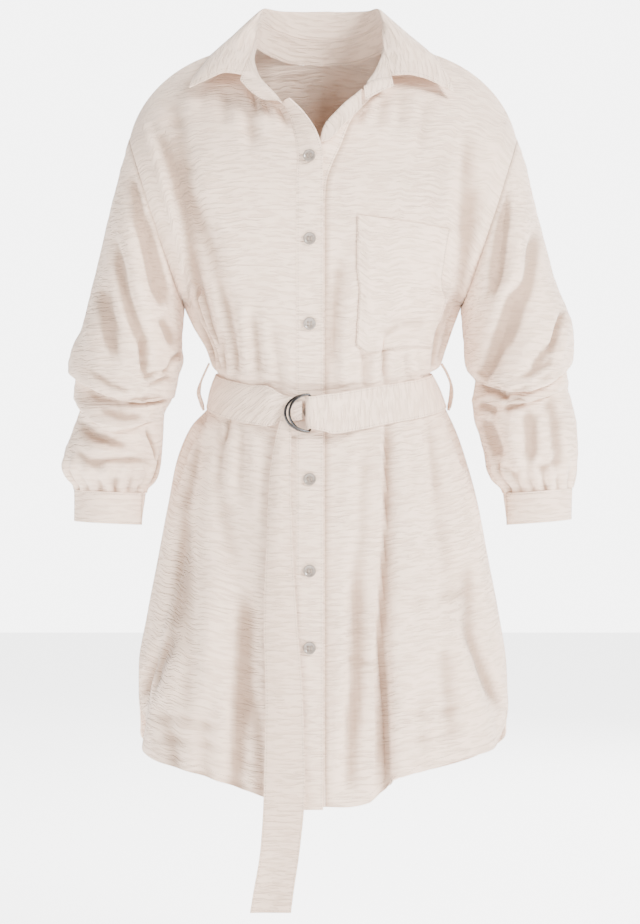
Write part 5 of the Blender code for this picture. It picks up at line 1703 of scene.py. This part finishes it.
class DRESS_OT_buttons(bpy.types.Operator):
    """Build one button with its thread and set a copy on every buttonhole"""
    bl_idname = "dress.buttons"
    bl_label = "Buttons"

    def execute(self, context):
        master = self.disc(context.scene.dress_sizes.button / 2)
        thread = self.thread()
        for number in range(BUTTONS):
            node = f"button_{number + 1}"
            place = self.seat(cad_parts[node])
            shell = self.copy(master, node + "_shell", place, shell_material())
            finish_piece(shell)
            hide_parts(node)
            finish_piece(self.copy(thread, node + "_thread", place, thread_material()))
        for thing in (master, thread):
            bpy.data.objects.remove(thing, do_unlink=True)
        return {"FINISHED"}

    def seat(self, node):
        """The middle of a button's back and the way that it faces, from its solid."""
        points = np.array([v.co[:] for v in node.data.vertices])
        centre = points.mean(axis=0)
        directions = np.linalg.svd(points - centre, full_matrices=False)[2]
        out = directions[2] * -np.sign(directions[2][1])
        low = ((points - centre) @ out).min()
        turn = Vector((0, 0, 1)).rotation_difference(Vector(out)).to_matrix().to_4x4()
        return Matrix.Translation(Vector(centre + out * low)) @ turn

    def copy(self, master, name, place, finish):
        """A copy of a master at its place, with its material."""
        thing = linked(name, master.data.copy())
        thing.data.transform(place)
        thing.data.materials.append(finish)
        return thing

    def rods(self, sides, radius, rods):
        """Rods joined into one object, from the length, place and turn of each."""
        made = []
        for length, place, turn in rods:
            bpy.ops.mesh.primitive_cylinder_add(vertices=sides, radius=radius, depth=length,
                                                location=place, rotation=(turn, 0, 0))
            made.append(bpy.context.object)
        pick(*made)
        if len(made) > 1:
            bpy.ops.object.join()
        bpy.ops.object.transform_apply(location=True, rotation=True, scale=True)
        return bpy.context.object

    def disc(self, radius):
        """A turned disc with a raised rim, a dished middle and four holes."""
        thing = self.rods(48, radius, [(BUTTON_THICKNESS, (0, 0, BUTTON_THICKNESS / 2), 0)])
        mesh = bmesh.new()
        mesh.from_mesh(thing.data)
        top = max(mesh.faces, key=lambda f: f.calc_center_median().z)
        bmesh.ops.inset_individual(mesh, faces=[top], thickness=RIM[0] * radius)
        bmesh.ops.inset_individual(mesh, faces=[top], thickness=RIM[1] * radius,
                                   depth=-BUTTON_DISH)
        mesh.to_mesh(thing.data)
        mesh.free()
        corners = [(x * HOLE_PLACE, y * HOLE_PLACE, 0) for x in (-1, 1) for y in (-1, 1)]
        drill = self.rods(20, HOLE_RADIUS, [(DRILL_LENGTH, corner, 0) for corner in corners])
        pick(thing)
        cut = thing.modifiers.new("Holes", "BOOLEAN")
        cut.operation = "DIFFERENCE"
        cut.solver = "EXACT"
        cut.object = drill
        bpy.ops.object.modifier_apply(modifier=cut.name)
        soft = thing.modifiers.new("Soft", "BEVEL")
        soft.width = BUTTON_EDGE
        soft.segments = 2
        soft.limit_method = "ANGLE"
        bpy.ops.object.modifier_apply(modifier=soft.name)
        bpy.data.objects.remove(drill, do_unlink=True)
        thing.data.shade_smooth()
        thing.data.set_sharp_from_angle(angle=np.radians(BUTTON_CRISP))
        return thing

    def thread(self):
        """Two bars of thread across the holes and a short shank behind each hole."""
        bars = [(2 * HOLE_PLACE, (x, 0, THREAD_HEIGHT), np.pi / 2)
                for x in (-HOLE_PLACE, HOLE_PLACE)]
        shanks = [(SHANK_LENGTH, (x, y, SHANK_HEIGHT), 0)
                  for y in (-HOLE_PLACE, HOLE_PLACE) for x in (-HOLE_PLACE, HOLE_PLACE)]
        thing = self.rods(10, THREAD_RADIUS, bars + shanks)
        thing.data.shade_smooth()
        thing.data.set_sharp_from_angle(angle=np.radians(CRISP))
        return thing


class DRESS_OT_stage(bpy.types.Operator):
    """Set the floor, the lights and the picture's camera"""
    bl_idname = "dress.stage"
    bl_label = "Stage"

    def execute(self, context):
        scene = context.scene
        pale = plain_material("floor_paint", scene.dress_colours.floor, 0.9)
        set_inputs(pale.node_tree.nodes["Principled BSDF"],
                   {"Emission Color": (1, 1, 1, 1), "Emission Strength": FLOOR_LIGHT})
        bpy.ops.mesh.primitive_plane_add(size=FLOOR_SIZE,
                                         location=(0, FLOOR_BACK, FLOOR_HEIGHT * MM))
        floor = context.object
        floor.name = "floor"
        bpy.ops.object.transform_apply(location=True, rotation=True, scale=True)
        floor.data.materials.append(pale)
        scene.world = studio_world()
        for name, place, size, power in LIGHTS:
            lamp = bpy.data.lights.new(name, "AREA")
            lamp.shape = "DISK"
            lamp.size = size
            lamp.energy = power
            thing = linked(name, lamp)
            thing.location = place
            way = Vector(LIT_POINT) - Vector(place)
            thing.rotation_euler = way.to_track_quat("-Z", "Y").to_euler()
        eye = bpy.data.cameras.new("picture_camera")
        eye.lens = CAMERA_LENS
        eye.sensor_width = SENSOR_WIDTH
        thing = linked("picture_camera", eye)
        thing.location = Vector(CAMERA) * MM
        thing.rotation_euler = (np.pi / 2, 0, 0)
        scene.camera = thing
        return {"FINISHED"}


class DRESS_PT_panel(bpy.types.Panel):
    """Sizes, colours and buttons for every group of pieces"""
    bl_label = "Belted shirt dress"
    bl_idname = "DRESS_PT_panel"
    bl_space_type = "VIEW_3D"
    bl_region_type = "UI"
    bl_category = "Dress"

    def draw(self, context):
        for group in (context.scene.dress_sizes, context.scene.dress_colours):
            for name in group.__annotations__:
                self.layout.prop(group, name)
        for kind in OPERATORS:
            self.layout.operator(kind.bl_idname)


OPERATORS = (DRESS_OT_body, DRESS_OT_collar, DRESS_OT_sleeves, DRESS_OT_belt, DRESS_OT_rings,
             DRESS_OT_buttons, DRESS_OT_stage)


def register():
    for kind in (DressSizes, DressColours, *OPERATORS, DRESS_PT_panel):
        bpy.utils.register_class(kind)
    bpy.types.Scene.dress_sizes = bpy.props.PointerProperty(type=DressSizes)
    bpy.types.Scene.dress_colours = bpy.props.PointerProperty(type=DressColours)


def unregister():
    del bpy.types.Scene.dress_sizes
    del bpy.types.Scene.dress_colours
    for kind in reversed((DressSizes, DressColours, *OPERATORS, DRESS_PT_panel)):
        bpy.utils.unregister_class(kind)


def main():
    register()
    bpy.ops.dress.body()
    bpy.ops.dress.collar()
    bpy.ops.dress.sleeves()
    bpy.ops.dress.belt()
    bpy.ops.dress.rings()
    bpy.ops.dress.buttons()
    bpy.ops.dress.stage()
    bpy.context.view_layer.update()


if __name__ == "__main__":
    main()
